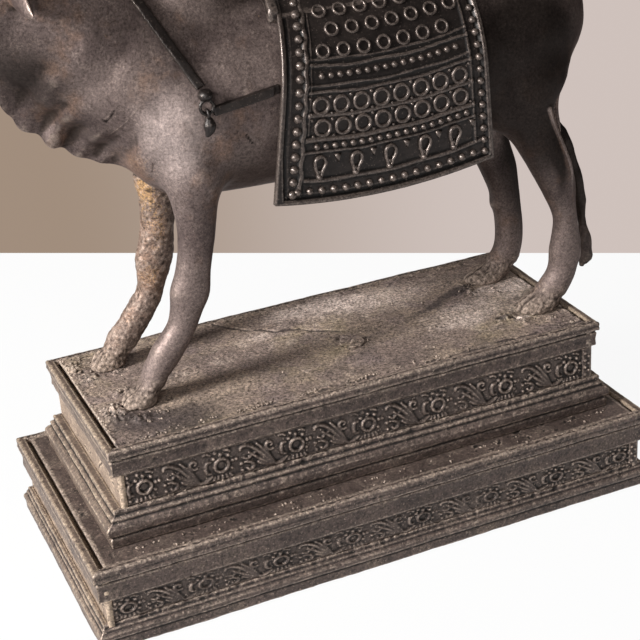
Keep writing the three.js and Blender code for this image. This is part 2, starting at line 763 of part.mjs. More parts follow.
function tasselForm(side) {
  const at = [knotAt[0], side * tasselAside, pivotHeight];
  const eye = ringSolid(eyeRadius, eyeWire, at, (ring) => ring.rotateY(Math.PI / 2));
  const top = pivotHeight - eyeRadius;
  const drop = smoothLimb(
    [
      { at: [at[0], at[1], top + 0.1], wide: 2, deep: 2 },
      { at: [at[0] + 0.5, at[1], top - tasselLength * 0.2], wide: tasselWide * 0.72, deep: tasselWide * 0.8 },
      { at: [at[0] + 0.6, at[1], top - tasselLength * 0.45], wide: tasselWide, deep: tasselWide * 1.12 },
      { at: [at[0], at[1], top - tasselLength * 0.75], wide: tasselWide * 0.7, deep: tasselWide * 0.85 },
      { at: [at[0] - 1.6, at[1], top - tasselLength], wide: tasselWide * 0.2, deep: tasselWide * 0.2 },
    ],
    8,
    { sides: 10 },
  );
  return eye.add(drop);
}

// Assembly: the plinth
tier({
  name: "lower",
  length: lowerLength,
  depth: lowerDepth,
  bottom: 0,
  top: lowerHeight,
  bands: lowerBands,
  mould: lowerMould,
});
tier({
  name: "upper",
  length: upperLength,
  depth: upperDepth,
  bottom: lowerHeight,
  top: deckTop,
  bands: upperBands,
  mould: upperMould,
});

const ledge = boxSolid(
  [-(lowerLength / 2 - endChannel), -(lowerDepth / 2 - brazeGap), lowerHeight - plateThick],
  [lowerLength / 2 - endChannel, lowerDepth / 2 - brazeGap, lowerHeight],
);
addPiece(plinth, "ledge_plate", ledge, "plinth");

const tangHoles = legs.map((leg) => onDeck(...hoofMiddle(leg)));
const plugAt = [plugForward, plugAside];
let deck = boxSolid(
  [-(upperLength / 2 - endChannel), -(upperDepth / 2 - brazeGap), deckTop - plateThick],
  [upperLength / 2 - endChannel, upperDepth / 2 - brazeGap, deckTop],
);
for (const [x, y] of tangHoles) {
  deck = deck.subtract(postSolid([x, y, deckTop - 2 * plateThick], tangRadius + castGap, 3 * plateThick));
}
deck = deck.subtract(postSolid([...plugAt, deckTop - 2 * plateThick], plugRadius + castGap, 3 * plateThick));
addPiece(plinth, "deck_plate", deck, "plinth");

const plug = postSolid([...plugAt, deckTop - plateThick - 1], plugRadius, plateThick + 1).add(
  postSolid([...plugAt, deckTop + castGap], plugRadius + plugLip, plugRise),
);
const plugWaist = postSolid([...plugAt, deckTop - 1], plugRadius, 1 + castGap + 0.1);
addPiece(plinth, "deck_core_plug", plug.add(plugWaist), "body");

legs.forEach(({ name }, i) => {
  const [x, y] = tangHoles[i];
  const foot = deckTop - plateThick - brazeGap - roveThick;
  const rove = postSolid([x, y, foot], roveRadius, roveThick);
  const bore = postSolid([x, y, foot - 1], tangRadius + castGap, roveThick + 2);
  addPiece(plinth, `${name}_rove`, rove.subtract(bore), "body");
});

// Assembly: the bull, each casting cut to sit against the ones before it
const trunk = barrel(0);
const trunkCut = barrel(castGap);
const neckCut = neckForm(castGap);
const headCut = headForm(castGap);
const dewlapCut = dewlapForm(castGap);
addPiece(bull, "body_barrel", trunk, "body");
addPiece(bull, "neck_and_hump", neckForm(0).subtract(trunkCut), "body");
addPiece(bull, "dewlap", dewlapForm(0).subtract(trunkCut).subtract(neckCut).subtract(headCut), "body");
addPiece(bull, "head", headForm(0).subtract(neckCut), "body");
for (const [name, side] of [["near", -1], ["far", 1]]) {
  addPiece(bull, `${name}_horn`, hornForm(side).subtract(headCut).subtract(neckCut), "body");
  const ear = earForm(side).subtract(headCut).subtract(neckCut).subtract(hornForm(side, castGap));
  addPiece(bull, `${name}_ear`, ear, "body");
}

for (const leg of legs) {
  const [x, y] = hoofMiddle(leg);
  const sole = boxSolid([-beyond, -beyond, -beyond], [beyond, beyond, castGap]);
  const tangLength = plateThick + roveThick + 2 * brazeGap + 2 * castGap;
  const tang = postSolid([x, y, -tangLength + castGap], tangRadius, tangLength + 4);
  const peened = postSolid([x, y, -tangLength - 1], tangHead, 1.3);
  const form = legForm(leg)
    .subtract(sole)
    .subtract(trunkCut)
    .subtract(neckCut)
    .subtract(dewlapCut);
  addPiece(bull, leg.name, mainPiece(form).add(tang).add(peened), leg.material);
}

addPiece(bull, "tail", tailForm().subtract(trunkCut), "body");

const panel = panelSolid();
addPiece(bull, "saddle_cloth_near", panel, "cloth");
addPiece(bull, "saddle_cloth_far", panel.mirror([0, 1, 0]), "cloth");
addPiece(bull, "saddle_seat", seatSolid(), "cloth");

const clothShadow = sheetSolid(-castGap, clothThick + clothRim + castGap).intersect(panelBlank(-castGap));
const clothCut = clothShadow.add(clothShadow.mirror([0, 1, 0]));
const collarEnd = [knotAt[0] - 1, knotAt[1] + strapWide * 0.9];
const collar = bandSolid(collarTop, collarEnd, strapWide, strapThick).subtract(clothCut);
addPiece(bull, "neck_collar", collar, "cloth");
const strap = bandSolid(strapFrom, strapBack, strapWide * 0.9, strapThick + 0.8);
for (const [name, side] of [["near", -1], ["far", 1]]) {
  const aside = boxSolid([-beyond, side < 0 ? -beyond : 0, 0], [beyond, side < 0 ? 0 : beyond, beyond]);
  const fixed = strap.intersect(aside).add(loopForm(side)).subtract(trunkCut).subtract(neckCut);
  const trimmed = fixed.subtract(clothCut).subtract(bandSolid(collarTop, collarEnd, strapWide + 2 * castGap, 4));
  addPiece(bull, `${name}_breast_strap`, trimmed, "cloth");
  addPiece(bull, `${name}_tassel`, tasselForm(side), "cloth");
}

const reach = new THREE.Box3().setFromObject(statue);
statue.position.x = -(reach.min.x + reach.max.x) / 2;
statue.position.y = -(reach.min.y + reach.max.y) / 2;

export default statue;
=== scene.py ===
# A dark bronze bull on a two-tier bronze plinth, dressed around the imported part. Lengths are written
# in millimetres and MM makes them metres. The plinth's own middle and the bull's own axes are used.
import json
from itertools import product
from math import atan2, cos, hypot, pi, radians, sin

import bmesh
import bpy
import numpy as np
from mathutils import Matrix, Vector
from mathutils.bvhtree import BVHTree


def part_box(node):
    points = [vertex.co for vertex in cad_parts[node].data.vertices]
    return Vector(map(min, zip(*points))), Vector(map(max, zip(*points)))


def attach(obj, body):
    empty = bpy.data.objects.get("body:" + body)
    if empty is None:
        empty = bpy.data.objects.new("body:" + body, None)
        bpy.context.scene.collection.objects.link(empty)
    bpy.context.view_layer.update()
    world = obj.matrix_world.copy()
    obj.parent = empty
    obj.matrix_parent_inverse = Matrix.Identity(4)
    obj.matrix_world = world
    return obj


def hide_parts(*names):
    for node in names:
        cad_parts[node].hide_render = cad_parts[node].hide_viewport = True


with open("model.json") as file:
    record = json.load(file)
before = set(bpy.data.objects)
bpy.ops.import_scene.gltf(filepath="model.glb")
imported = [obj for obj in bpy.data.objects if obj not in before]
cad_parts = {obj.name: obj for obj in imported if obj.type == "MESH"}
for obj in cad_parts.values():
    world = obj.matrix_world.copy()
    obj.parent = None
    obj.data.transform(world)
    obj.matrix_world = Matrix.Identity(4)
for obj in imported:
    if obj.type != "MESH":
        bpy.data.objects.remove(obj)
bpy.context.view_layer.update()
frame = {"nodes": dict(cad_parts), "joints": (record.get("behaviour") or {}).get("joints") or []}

# Camera: it stands in front of the plinth's near side, a little towards the bull's head, and looks
# down on the deck through a portrait lens. It is tipped about its own axis by four degrees.
MM = 0.001
SENSOR = 36
LENS = 87.18
CAMERA_AT = (-307.06, -747.89, 508.27)  # from the middle of the plinth's foot
CAMERA_YAW = radians(22.283)
CAMERA_DIP = radians(25.679)
CAMERA_TIP = radians(-4.023)
IMAGE = 640

head_wall, tail_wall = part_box("lower_wall_head_end"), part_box("lower_wall_tail_end")
near_wall, far_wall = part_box("lower_wall_near"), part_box("lower_wall_far")
plinth_middle = np.array([head_wall[0].x + tail_wall[1].x, near_wall[0].y + far_wall[1].y, 0]) / 2 / MM


def from_plinth(points):
    """Millimetres from the middle of the plinth's foot to metres in the part's frame."""
    return (np.asarray(points, float) + plinth_middle) * MM


ahead = Vector((sin(CAMERA_YAW) * cos(CAMERA_DIP), cos(CAMERA_YAW) * cos(CAMERA_DIP), -sin(CAMERA_DIP)))
level = Vector((cos(CAMERA_YAW), -sin(CAMERA_YAW), 0))
above = level.cross(ahead)
camera_right = level * cos(CAMERA_TIP) + above * sin(CAMERA_TIP)
camera_up = above * cos(CAMERA_TIP) - level * sin(CAMERA_TIP)
camera_place = Vector(from_plinth(CAMERA_AT))


def new_thing(name, data):
    """A camera, a lamp or a mesh set in the scene."""
    made = bpy.data.objects.new(name, data)
    bpy.context.scene.collection.objects.link(made)
    return made


camera_data = bpy.data.cameras.new("camera")
camera_data.sensor_width = SENSOR
camera_data.lens = LENS
camera = new_thing("camera", camera_data)
axes = Matrix((camera_right, camera_up, -ahead)).transposed()
camera.matrix_world = Matrix.Translation(camera_place) @ axes.to_4x4()
bpy.context.scene.camera = camera
bpy.context.scene.view_settings.view_transform = "Standard"

# Table and wall: a white table top whose far edge crosses the picture level, and a warm grey wall
# some way behind it, paler towards the right. Both only show themselves and reflect in the bronze.
TABLE_EDGE_ROW = 253  # of the picture
TABLE_NEAR = 1500
TABLE_WHITE = (0.5, 0.5, 0.5)
TABLE_GLOW = 0.93
WALL_BEHIND = 2600
WALL_HALF = 2200
WALL_FADE = 1100  # the length over which the wall grows paler
WALL_LEFT = (0.355, 0.268, 0.205)
WALL_RIGHT = (0.62, 0.535, 0.5)
WALL_DULL = (0.3, 0.28, 0.26)


def opaque(colour):
    return (*colour, 1.0)


def add_node(tree, kind, settings=None, inputs=None):
    """A new node with its settings, and its inputs: values, or the sockets that feed them."""
    made = tree.nodes.new(kind)
    for key, value in (settings or {}).items():
        setattr(made, key, value)
    for key, value in (inputs or {}).items():
        value = value.socket if isinstance(value, Signal) else value
        if isinstance(value, bpy.types.NodeSocket):
            tree.links.new(value, made.inputs[key])
        else:
            made.inputs[key].default_value = value
    return made


class Signal:
    """A number that varies over a surface. An expression on signals adds its Math nodes."""

    def __init__(self, paint, socket):
        self.paint = paint
        self.socket = socket

    def work(self, operation, first, second):
        return self.paint.signal("ShaderNodeMath", {"operation": operation}, {0: first, 1: second})

    def __add__(self, other):
        return self.work("ADD", self, other)

    __radd__ = __add__

    def __sub__(self, other):
        return self.work("SUBTRACT", self, other)

    def __rsub__(self, other):
        return self.work("SUBTRACT", other, self)

    def __mul__(self, other):
        return self.work("MULTIPLY", self, other)

    __rmul__ = __mul__

    def between(self, low, high):
        """0 below low, 1 above high, and smooth from one to the other."""
        inputs = {"Value": self, "From Min": low, "From Max": high}
        return self.paint.signal("ShaderNodeMapRange", {"interpolation_type": "SMOOTHSTEP"}, inputs)


class Paint:
    """One material, built a node at a time. Its colour is laid on coat by coat."""

    def __init__(self, name):
        self.material = bpy.data.materials.new(name)
        self.material.use_nodes = True
        self.tree = self.material.node_tree
        self.tree.nodes.clear()
        self.place = self.node("ShaderNodeTexCoord").outputs["Object"]

    def node(self, kind, settings=None, inputs=None):
        return add_node(self.tree, kind, settings, inputs)

    def signal(self, kind, settings=None, inputs=None, output=0):
        return Signal(self, self.node(kind, settings, inputs).outputs[output])

    def grain(self, size, detail=3.0, roughness=0.55, shift=0.0):
        """Noise whose features are about size millimetres across, from 0 to 1."""
        place = self.node("ShaderNodeMapping", None, {"Vector": self.place, "Location": (shift,) * 3})
        inputs = {
            "Vector": place.outputs[0], "Scale": 1 / (size * MM), "Detail": detail, "Roughness": roughness
        }
        return self.signal("ShaderNodeTexNoise", None, inputs)

    def mark(self, attribute):
        return self.signal("ShaderNodeAttribute", {"attribute_name": attribute}, output="Fac")

    def mix(self, factor, first, second, blend="MIX"):
        """Colour first where factor is 0, colour second where it is 1."""
        first, second = (opaque(tint) if isinstance(tint, tuple) else tint for tint in (first, second))
        settings = {"data_type": "RGBA", "blend_type": blend}
        return self.node("ShaderNodeMix", settings, {0: factor, 6: first, 7: second}).outputs[2]

    def ground(self, share, first, second):
        self.colour = self.mix(share, first, second)

    def coat(self, share, tint, blend="MIX"):
        self.colour = self.mix(share, self.colour, tint, blend)

    def grit(self, size, depth):
        """Darkens and lightens the colour in grains, by depth at the most."""
        grit = self.grain(size, 3, 0.8, 21.7)
        self.coat((0.5 - grit).between(0.0, 0.16) * depth, (0.22, 0.2, 0.19), "MULTIPLY")
        self.coat((grit - 0.5).between(0.0, 0.16) * depth, (1.9, 1.85, 1.8), "MULTIPLY")

    def show(self, shader):
        self.node("ShaderNodeOutputMaterial", None, {"Surface": shader.outputs[0]})
        return self.material

    def show_metal(self, metallic, roughness, sand, depth, strength=1.0, more=None):
        """The finished metal, its surface pitted by the sand's grains to a depth in millimetres."""
        bumpy = {"Strength": strength, "Distance": depth * MM, "Height": sand}
        skin = {"Base Color": self.colour, "Metallic": metallic, "Roughness": roughness, **(more or {})}
        skin["Normal"] = self.node("ShaderNodeBump", None, bumpy).outputs[0]
        return self.show(self.node("ShaderNodeBsdfPrincipled", None, skin))

    def show_backdrop(self, share, dull, bright):
        """A backdrop that shows itself bright, and lights the object only as a dull matt surface."""
        matt = self.node("ShaderNodeBsdfDiffuse", None, {"Color": dull})
        glow = self.node("ShaderNodeEmission", None, {"Color": bright, "Strength": 1.0})
        inputs = {0: share, 1: matt.outputs[0], 2: glow.outputs[0]}
        return self.show(self.node("ShaderNodeMixShader", None, inputs))


def seen_directly(paint):
    rays = paint.node("ShaderNodeLightPath").outputs
    camera_ray, glossy_ray, clear_ray = (
        Signal(paint, rays[f"Is {kind} Ray"]) for kind in ("Camera", "Glossy", "Transmission")
    )
    return camera_ray.work("MAXIMUM", camera_ray.work("MAXIMUM", camera_ray, glossy_ray), clear_ray)


def on_table(column, row):
    """Where the table is seen at a pixel of the picture, in millimetres from the plinth's middle."""
    focal = LENS / SENSOR * IMAGE
    ray = ahead * focal + camera_right * (column - IMAGE / 2) - camera_up * (row - IMAGE / 2)
    at = Vector(CAMERA_AT)
    hit = at + ray * (-at.z / ray.z)
    return np.array([hit.x, hit.y, 0.0])


def new_object(name, points, faces, material):
    """A smooth-shaded mesh from points in metres. It sits at the origin, with its place in its mesh."""
    mesh = bpy.data.meshes.new(name)
    mesh.from_pydata(np.asarray(points).tolist(), [], [list(map(int, face)) for face in faces])
    mesh.materials.append(material)
    mesh.polygons.foreach_set("use_smooth", [True] * len(mesh.polygons))
    return new_thing(name, mesh)


table_paint = Paint("table_white")
table_white = table_paint.show_backdrop(
    seen_directly(table_paint) * TABLE_GLOW, opaque(TABLE_WHITE), (1, 1, 1, 1)
)
edge_left, edge_right = on_table(0, TABLE_EDGE_ROW), on_table(IMAGE, TABLE_EDGE_ROW)
edge_run = (edge_right - edge_left) / np.linalg.norm(edge_right - edge_left)
edge_ends = [edge_left - edge_run * TABLE_NEAR, edge_right + edge_run * TABLE_NEAR]
towards = np.array([edge_run[1], -edge_run[0], 0.0])
table_corners = [*edge_ends, edge_ends[1] + towards * 2 * TABLE_NEAR, edge_ends[0] + towards * 2 * TABLE_NEAR]
new_object("table", from_plinth(table_corners), [(3, 2, 1, 0)], table_white)

wall_run = np.array([level.x, level.y, 0.0])
wall_foot = np.array([ahead.x, ahead.y, 0.0]) / hypot(ahead.x, ahead.y) * WALL_BEHIND
wall_paint = Paint("wall_warm_grey")
wall_share = wall_paint.signal(
    "ShaderNodeVectorMath",
    {"operation": "DOT_PRODUCT"},
    {0: wall_paint.place, 1: tuple(wall_run / (WALL_FADE * MM))},
    output="Value",
)
wall_colour = wall_paint.mix((wall_share + 0.55).between(0, 1), WALL_LEFT, WALL_RIGHT)
wall_grey = wall_paint.show_backdrop(seen_directly(wall_paint), opaque(WALL_DULL), wall_colour)
wall_corners = [
    wall_foot + wall_run * WALL_HALF * across + np.array([0, 0, WALL_HALF * rise])
    for across, rise in ((-1, -1), (1, -1), (1, 1), (-1, 1))
]
new_object("wall", from_plinth(wall_corners), [(0, 1, 2, 3)], wall_grey)

# Lamps: one soft lamp low on the side of the bull's head lights its chest and the plinth's end, a
# weak one beside the camera opens the shadows, and a dim sky does the rest.
SKY = (0.15, 0.137, 0.128)
LAMPS_FACE = (0, 0, 170)


def soft_lamp(name, place, size, power, colour):
    data = bpy.data.lights.new(name, "AREA")
    data.shape = "DISK"
    data.size = size * MM
    data.energy = power
    data.color = colour
    lamp = new_thing(name, data)
    lamp.location = Vector(from_plinth(place))
    lamp.rotation_mode = "QUATERNION"
    lamp.rotation_quaternion = (Vector(from_plinth(LAMPS_FACE)) - lamp.location).to_track_quat("-Z", "Y")


soft_lamp("key_lamp", (-1350, -240, 930), 480, 64.0, (1.0, 0.98, 0.95))
soft_lamp("front_lamp", (-850, -1150, 650), 500, 11.0, (1.0, 0.98, 0.96))

world = bpy.data.worlds.new("room")
world.use_nodes = True
world.node_tree.nodes.clear()
sky = add_node(world.node_tree, "ShaderNodeBackground", None, {"Color": opaque(SKY)})
add_node(world.node_tree, "ShaderNodeOutputWorld", None, {0: sky.outputs[0]})
bpy.context.scene.world = world

# Plinth bronze: sand-grained castings, brown where handled, dusty olive and grey-violet where not, darker in
# the hollows with dirt and painted shade, and bright where an edge is worn. Every casting carries marks for
# those.
GRAIN = 0.55  # the casting sand's grain


def bronze(name, tones, dust, dust_share, worn, hollow_dirt_and_shade, metal, rough, grain_depth, grit):
    """A cast bronze finish: two mottled tones, settling dust, worn edges, hollows darkened by dirt and
    painted shade.
    """
    paint = Paint(name)
    relief, broad = paint.mark("relief"), paint.mark("broad")
    mottle = paint.grain(26, 4, 0.6) * 0.6 + paint.grain(5, 4, 0.65, 3.1) * 0.4
    paint.ground(mottle.between(0.36, 0.64), *tones)
    speck = paint.grain(1.1, 2, 0.7, 7.7)
    settled = paint.grain(17, 5, 0.68, 1.3) * 0.62 + speck * 0.38
    dusted = settled.between(0.62 - dust_share * 0.3, 0.74 - dust_share * 0.2)
    paint.coat(dusted * dust_share, dust)
    # Dirt and painted shade darken the fine pits and grooves; painted shade darkens the broad hollows, such
    # as under the cornices and inside the frieze's rings
    sunk_dirt_and_shade = (relief * -1).between(0.04, 0.55)
    paint.coat(sunk_dirt_and_shade * 0.75, hollow_dirt_and_shade)
    paint.coat((broad * -1).between(0.05, 0.6) * 0.7, hollow_dirt_and_shade)
    rubbed = relief.between(0.1, 0.6) * (0.35 + speck.between(0.4, 0.62) * 0.65)
    paint.coat(rubbed * 0.8, worn)
    paint.coat(paint.grain(1.0, 1, 0.5, 4.4).between(0.66, 0.74) * 0.6, worn)
    paint.grit(1.5, grit)
    metallic = 1 - (dusted * (0.3 * dust_share) + (1 - metal))
    roughness = rough + dusted * 0.16 + sunk_dirt_and_shade * 0.1 - rubbed * 0.16
    return paint.show_metal(metallic, roughness, paint.grain(GRAIN, 3, 0.6, 9.2), grain_depth, 0.9)


plinth_bronze = bronze(
    "plinth_bronze", tones=((0.05, 0.036, 0.032), (0.088, 0.064, 0.056)),
    dust=(0.21, 0.165, 0.13), dust_share=0.4, worn=(0.36, 0.29, 0.24), hollow_dirt_and_shade=(0.006, 0.0045, 0.004),
    metal=0.4, rough=0.52, grain_depth=0.4, grit=0.8,
)
end_bronze = bronze(
    "end_bronze", tones=((0.075, 0.054, 0.045), (0.13, 0.096, 0.077)),
    dust=(0.27, 0.21, 0.155), dust_share=0.4, worn=(0.38, 0.3, 0.225), hollow_dirt_and_shade=(0.01, 0.0072, 0.006),
    metal=0.4, rough=0.55, grain_depth=0.25, grit=0.55,
)

# Mouldings of both tiers: every side has a cornice strip and a base strip of cast bronze, brazed to
# its wall and mitred at the corners. They are worn round, a little wavy, and chipped along the top.
PLINTH_STEP = 0.85  # spacing of the points along a strip
SECTION_STEP = 0.62
BRAZE_GAP = 0.05
RIM_RISE = 0.7
TURNS = {"near": 0, "far": 180, "head_end": -90, "tail_end": 90}


def height_of(node):
    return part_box(node)[1].z / MM


def span(low_node, high_node, axis):
    return (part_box(high_node)[1][axis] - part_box(low_node)[0][axis]) / MM


tiers = {
    "lower": {
        "length": span("lower_wall_head_end", "lower_wall_tail_end", 0),
        "depth": span("lower_wall_near", "lower_wall_far", 1),
        "bottom": 0.0,
        "top": height_of("ledge_plate"),
        "bands": {"foot": 6.0, "base": 16.0, "frieze": 30.0},
        "cornice": (4.4, 5.0),
        "base": (4.6, 6.0),
    },
    "upper": {
        "length": span("upper_wall_head_end", "upper_wall_tail_end", 0),
        "depth": span("upper_wall_near", "upper_wall_far", 1),
        "bottom": height_of("ledge_plate"),
        "top": height_of("deck_plate"),
        "bands": {"foot": 6.3, "base": 21.2, "frieze": 40.7},
        "cornice": (4.2, 4.6),
        "base": (6.4, 10.5),
    },
}


def unit(values):
    """The values, those below 0 raised to 0 and those above 1 lowered to 1."""
    return np.clip(values, 0, 1)


def waves(points, *each):
    """Several rumples added up, each given as its height, size and seed."""
    return sum(high * rumple(points, size, seed) for high, size, seed in each)


def rumple(points, size, seed):
    """Smooth random waves about size millimetres long, from -1 to 1, at each point."""
    total = np.zeros(len(points))
    for turn in (0.61, 2.17):
        lattice = np.array(Matrix.Rotation(turn, 3, "Z") @ Matrix.Rotation(turn * 1.7, 3, "X"))
        place = np.asarray(points, float) @ lattice.T / size + seed * 7.31
        cell = np.floor(place)
        part = place - cell
        part = part * part * (3 - 2 * part)
        for corner in product((0, 1), repeat=3):
            value = np.sin((cell + corner) @ np.array([12.9898, 78.233, 37.719])) * 4375.85453
            weight = np.prod(np.where(corner, part, 1 - part), axis=1)
            total += 0.7 * (2 * (value - np.floor(value)) - 1) * weight
    return np.clip(total, -1, 1)


def edges_of(faces):
    """Both ends of every side of every face, walked round."""
    if isinstance(faces, list):
        return np.concatenate(faces), np.concatenate([np.roll(face, -1) for face in faces])
    return faces.ravel(), np.roll(faces, -1, axis=1).ravel()


def neighbours_mean(points, starts, ends):
    count = np.bincount(starts, minlength=len(points)) + np.bincount(ends, minlength=len(points))
    columns = [
        np.bincount(starts, weights=points[ends, k], minlength=len(points))
        + np.bincount(ends, weights=points[starts, k], minlength=len(points))
        for k in range(points.shape[1])
    ]
    return np.stack(columns, axis=1) / np.maximum(count, 1)[:, None]


def relax(points, starts, ends, passes, strength=0.5):
    for _ in range(passes):
        points = points + strength * (neighbours_mean(points, starts, ends) - points)
    return points


def read(items, key, wide, kind=float):
    """One property of all points, edges, loops or faces of a mesh."""
    values = np.empty(len(items) * wide, kind)
    items.foreach_get(key, values)
    return values.reshape(-1, wide) if wide > 1 else values


def store(mesh, name, values):
    """Keeps one number for each point of a mesh, which its finish reads as a mark."""
    attribute = mesh.attributes.new(name, "FLOAT", "POINT")
    attribute.data.foreach_set("value", values.astype(np.float32))


def cast_piece(name, points, faces, finish, nodes, slot, fine, coarse, passes=12, body="statue", sheet=False):
    """A casting from points in metres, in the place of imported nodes. Its marks say how far each point
    stands proud of its surroundings, near and wide. A sheet's faces are turned outwards first."""
    made = new_object(name, points, faces, finish)
    mesh = made.data
    if sheet:
        work = bmesh.new()
        work.from_mesh(mesh)
        bmesh.ops.recalc_face_normals(work, faces=work.faces)
        work.to_mesh(mesh)
        work.free()
    points = read(mesh.vertices, "co", 3) / MM
    normals = read(mesh.vertices, "normal", 3)
    starts, ends = read(mesh.edges, "vertices", 2, int).T
    for mark, rounds, depth in (("relief", 2, fine), ("broad", passes, coarse)):
        proud = np.einsum("ij,ij->i", points - relax(points, starts, ends, rounds), normals) / depth
        store(mesh, mark, np.clip(proud, -1, 1))
    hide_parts(*nodes)
    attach(made, body)
    return made


def spread(outline, step):
    """Points at even steps along an outline, its corners rounded by two passes of averaging."""
    outline = np.asarray(outline, float)
    lengths = np.hypot(*np.diff(outline, axis=0).T)
    marks = np.concatenate([[0], np.cumsum(lengths)])
    stops = np.linspace(0, marks[-1], max(8, int(marks[-1] / step)))
    even = np.stack([np.interp(stops, marks, outline[:, k]) for k in range(outline.shape[1])], axis=1)
    for _ in range(2):
        even[1:-1] = 0.25 * even[:-2] + 0.5 * even[1:-1] + 0.25 * even[2:]
    return even


def cornice_section(proud, bottom, top):
    """Fascia below, an undercut line, then the rim with one groove: points [out, up]."""
    rim = (top - bottom) * 0.4
    line = top - rim
    return [
        (BRAZE_GAP, bottom), (proud * 0.62, bottom), (proud * 0.66, bottom + 0.6),
        (proud * 0.58, (bottom + top - rim) / 2), (proud * 0.72, line - 0.9), (proud * 0.46, line - 0.3),
        (proud * 0.5, line + 0.2), (proud * 0.96, line + 0.6), (proud, top - rim * 0.62),
        (proud * 0.84, top - rim * 0.52), (proud * 0.98, top - rim * 0.42), (proud * 0.94, top - 0.7),
        (proud * 0.72, top), (BRAZE_GAP, top - 0.1),
    ]


def base_section(proud, bottom, foot, top):
    """A flat foot, a bead above it, a cove and a fillet under the frieze: points [out, up]."""
    rise = top - foot
    return [
        (BRAZE_GAP, bottom), (proud * 0.84, bottom), (proud * 0.86, foot - 0.7), (proud * 0.72, foot - 0.2),
        (proud * 0.76, foot + 0.2), (proud, foot + rise * 0.1), (proud, foot + rise * 0.36),
        (proud * 0.82, foot + rise * 0.5), (proud * 0.6, foot + rise * 0.56),
        (proud * 0.72, foot + rise * 0.64), (proud * 0.62, foot + rise * 0.74),
        (proud * 0.42, foot + rise * 0.78), (proud * 0.5, foot + rise * 0.86), (proud * 0.46, top),
        (BRAZE_GAP, top),
    ]


def turned(points, angle):
    """Points turned about the upright axis."""
    x = points[:, 0] * cos(angle) - points[:, 1] * sin(angle)
    y = points[:, 0] * sin(angle) + points[:, 1] * cos(angle)
    return np.stack([x, y, points[:, 2]], axis=1)


def bar_faces(rings, count):
    """The faces of a bar built up of rings of points, with one flat face at each end."""
    rows = count * np.arange(rings)[:, None] + np.arange(count)
    after = np.roll(rows, -1, axis=1)
    sides = np.stack([rows[:-1], after[:-1], after[1:], rows[1:]], axis=-1).reshape(-1, 4)
    return [*sides.tolist(), rows[0, ::-1].tolist(), rows[-1].tolist()]


def moulding(name, side, across, run, section, proud, return_proud, seed, rough_top):
    """A strip of the given section along one side of a tier, mitred at both ends."""
    ring = spread(section, SECTION_STEP)
    stations = np.linspace(-1, 1, int(run / PLINTH_STEP))
    out, up = np.tile(ring, (len(stations), 1)).T
    along = np.repeat(stations, len(ring)) * (run / 2 - BRAZE_GAP + return_proud * unit(out / proud))
    place = np.stack([along, out, up], axis=1)
    facing = np.gradient(ring, axis=0)[:, ::-1] * (1, -1)
    facing = np.tile(facing / np.maximum(np.hypot(*facing.T), 1e-6)[:, None], (len(stations), 1))
    free = unit((out - BRAZE_GAP) / 0.8)
    swell = waves(place, (0.22, 21, seed), (0.16, 6.5, seed + 1), (0.13, 2.6, seed + 2))
    near_top = unit(1 - (ring[:, 1].max() - up) / 5.0) * rough_top
    inner_top = near_top * unit((proud * 0.75 - out) / 1.2)
    bite = unit(rumple(place * (1, 1, 0.5), 3.2, seed + 3) - 0.1) * inner_top
    swell = swell - 1.1 * bite - 0.4 * inner_top * unit(rumple(place, 2.1, seed + 4))
    out = np.clip(out + facing[:, 0] * swell * free, BRAZE_GAP, proud)
    up = up + facing[:, 1] * swell * free + 0.16 * rumple(place * (1, 0, 0), 34, seed + 5) * free
    up = np.clip(up, ring[:, 1].min(), None)
    stood = turned(np.stack([along, -across / 2 - out, up], axis=1), radians(TURNS[side]))
    finish = end_bronze if side.endswith("end") else plinth_bronze
    faces = bar_faces(len(stations), len(ring))
    cast_piece(name + "_casting", from_plinth(stood), faces, finish, [name], "plinth", 0.1, 0.33, sheet=True)


for tier_index, (tier, sizes) in enumerate(tiers.items()):
    for side_index, side in enumerate(TURNS):
        end = side.endswith("end")
        across, run = (sizes[key] for key in (("length", "depth") if end else ("depth", "length")))
        own, other = (1, 0) if end else (0, 1)
        bottom, bands = sizes["bottom"], sizes["bands"]
        seed = 10 * tier_index + side_index
        rim_top = sizes["top"] + RIM_RISE * (0.2 if side == "tail_end" else 1)
        rim = cornice_section(sizes["cornice"][own], bottom + bands["frieze"] + BRAZE_GAP, rim_top)
        foot_low = bottom + (BRAZE_GAP if bottom else 0)
        foot_top = bottom + bands["base"] - BRAZE_GAP
        foot = base_section(sizes["base"][own], foot_low, bottom + bands["foot"], foot_top)
        for kind, band, section, shift, rough_tops in (
            ("cornice", "cornice", rim, 0, (1.0, 0.25)), ("base_moulding", "base", foot, 40, (0.8, 0.1))
        ):
            moulding(
                f"{tier}_{kind}_{side}", side, across, run, section, sizes[band][own], sizes[band][other],
                seed + shift, rough_tops[end],
            )

# End walls and long walls: flat cast plates behind the strips. The head end was left plain and is painted a
# paler tan, which is painted light on the end that faces the key lamp; it keeps a soft waviness and a few
# fine cracks.
WALL_STEP = 1.1


def lines_between(low, high, step):
    return np.linspace(low, high, max(2, int(round((high - low) / step)) + 1))


def grid_faces(nx, ny):
    """The squares of a grid of points, and the points round its border."""
    index = np.arange(nx * ny).reshape(nx, ny)
    squares = np.stack([index[:-1, :-1], index[1:, :-1], index[1:, 1:], index[:-1, 1:]], axis=-1)
    border = np.concatenate([index[:, 0], index[-1, 1:], index[-2::-1, -1], index[0, -2:0:-1]])
    return squares.reshape(-1, 4), border


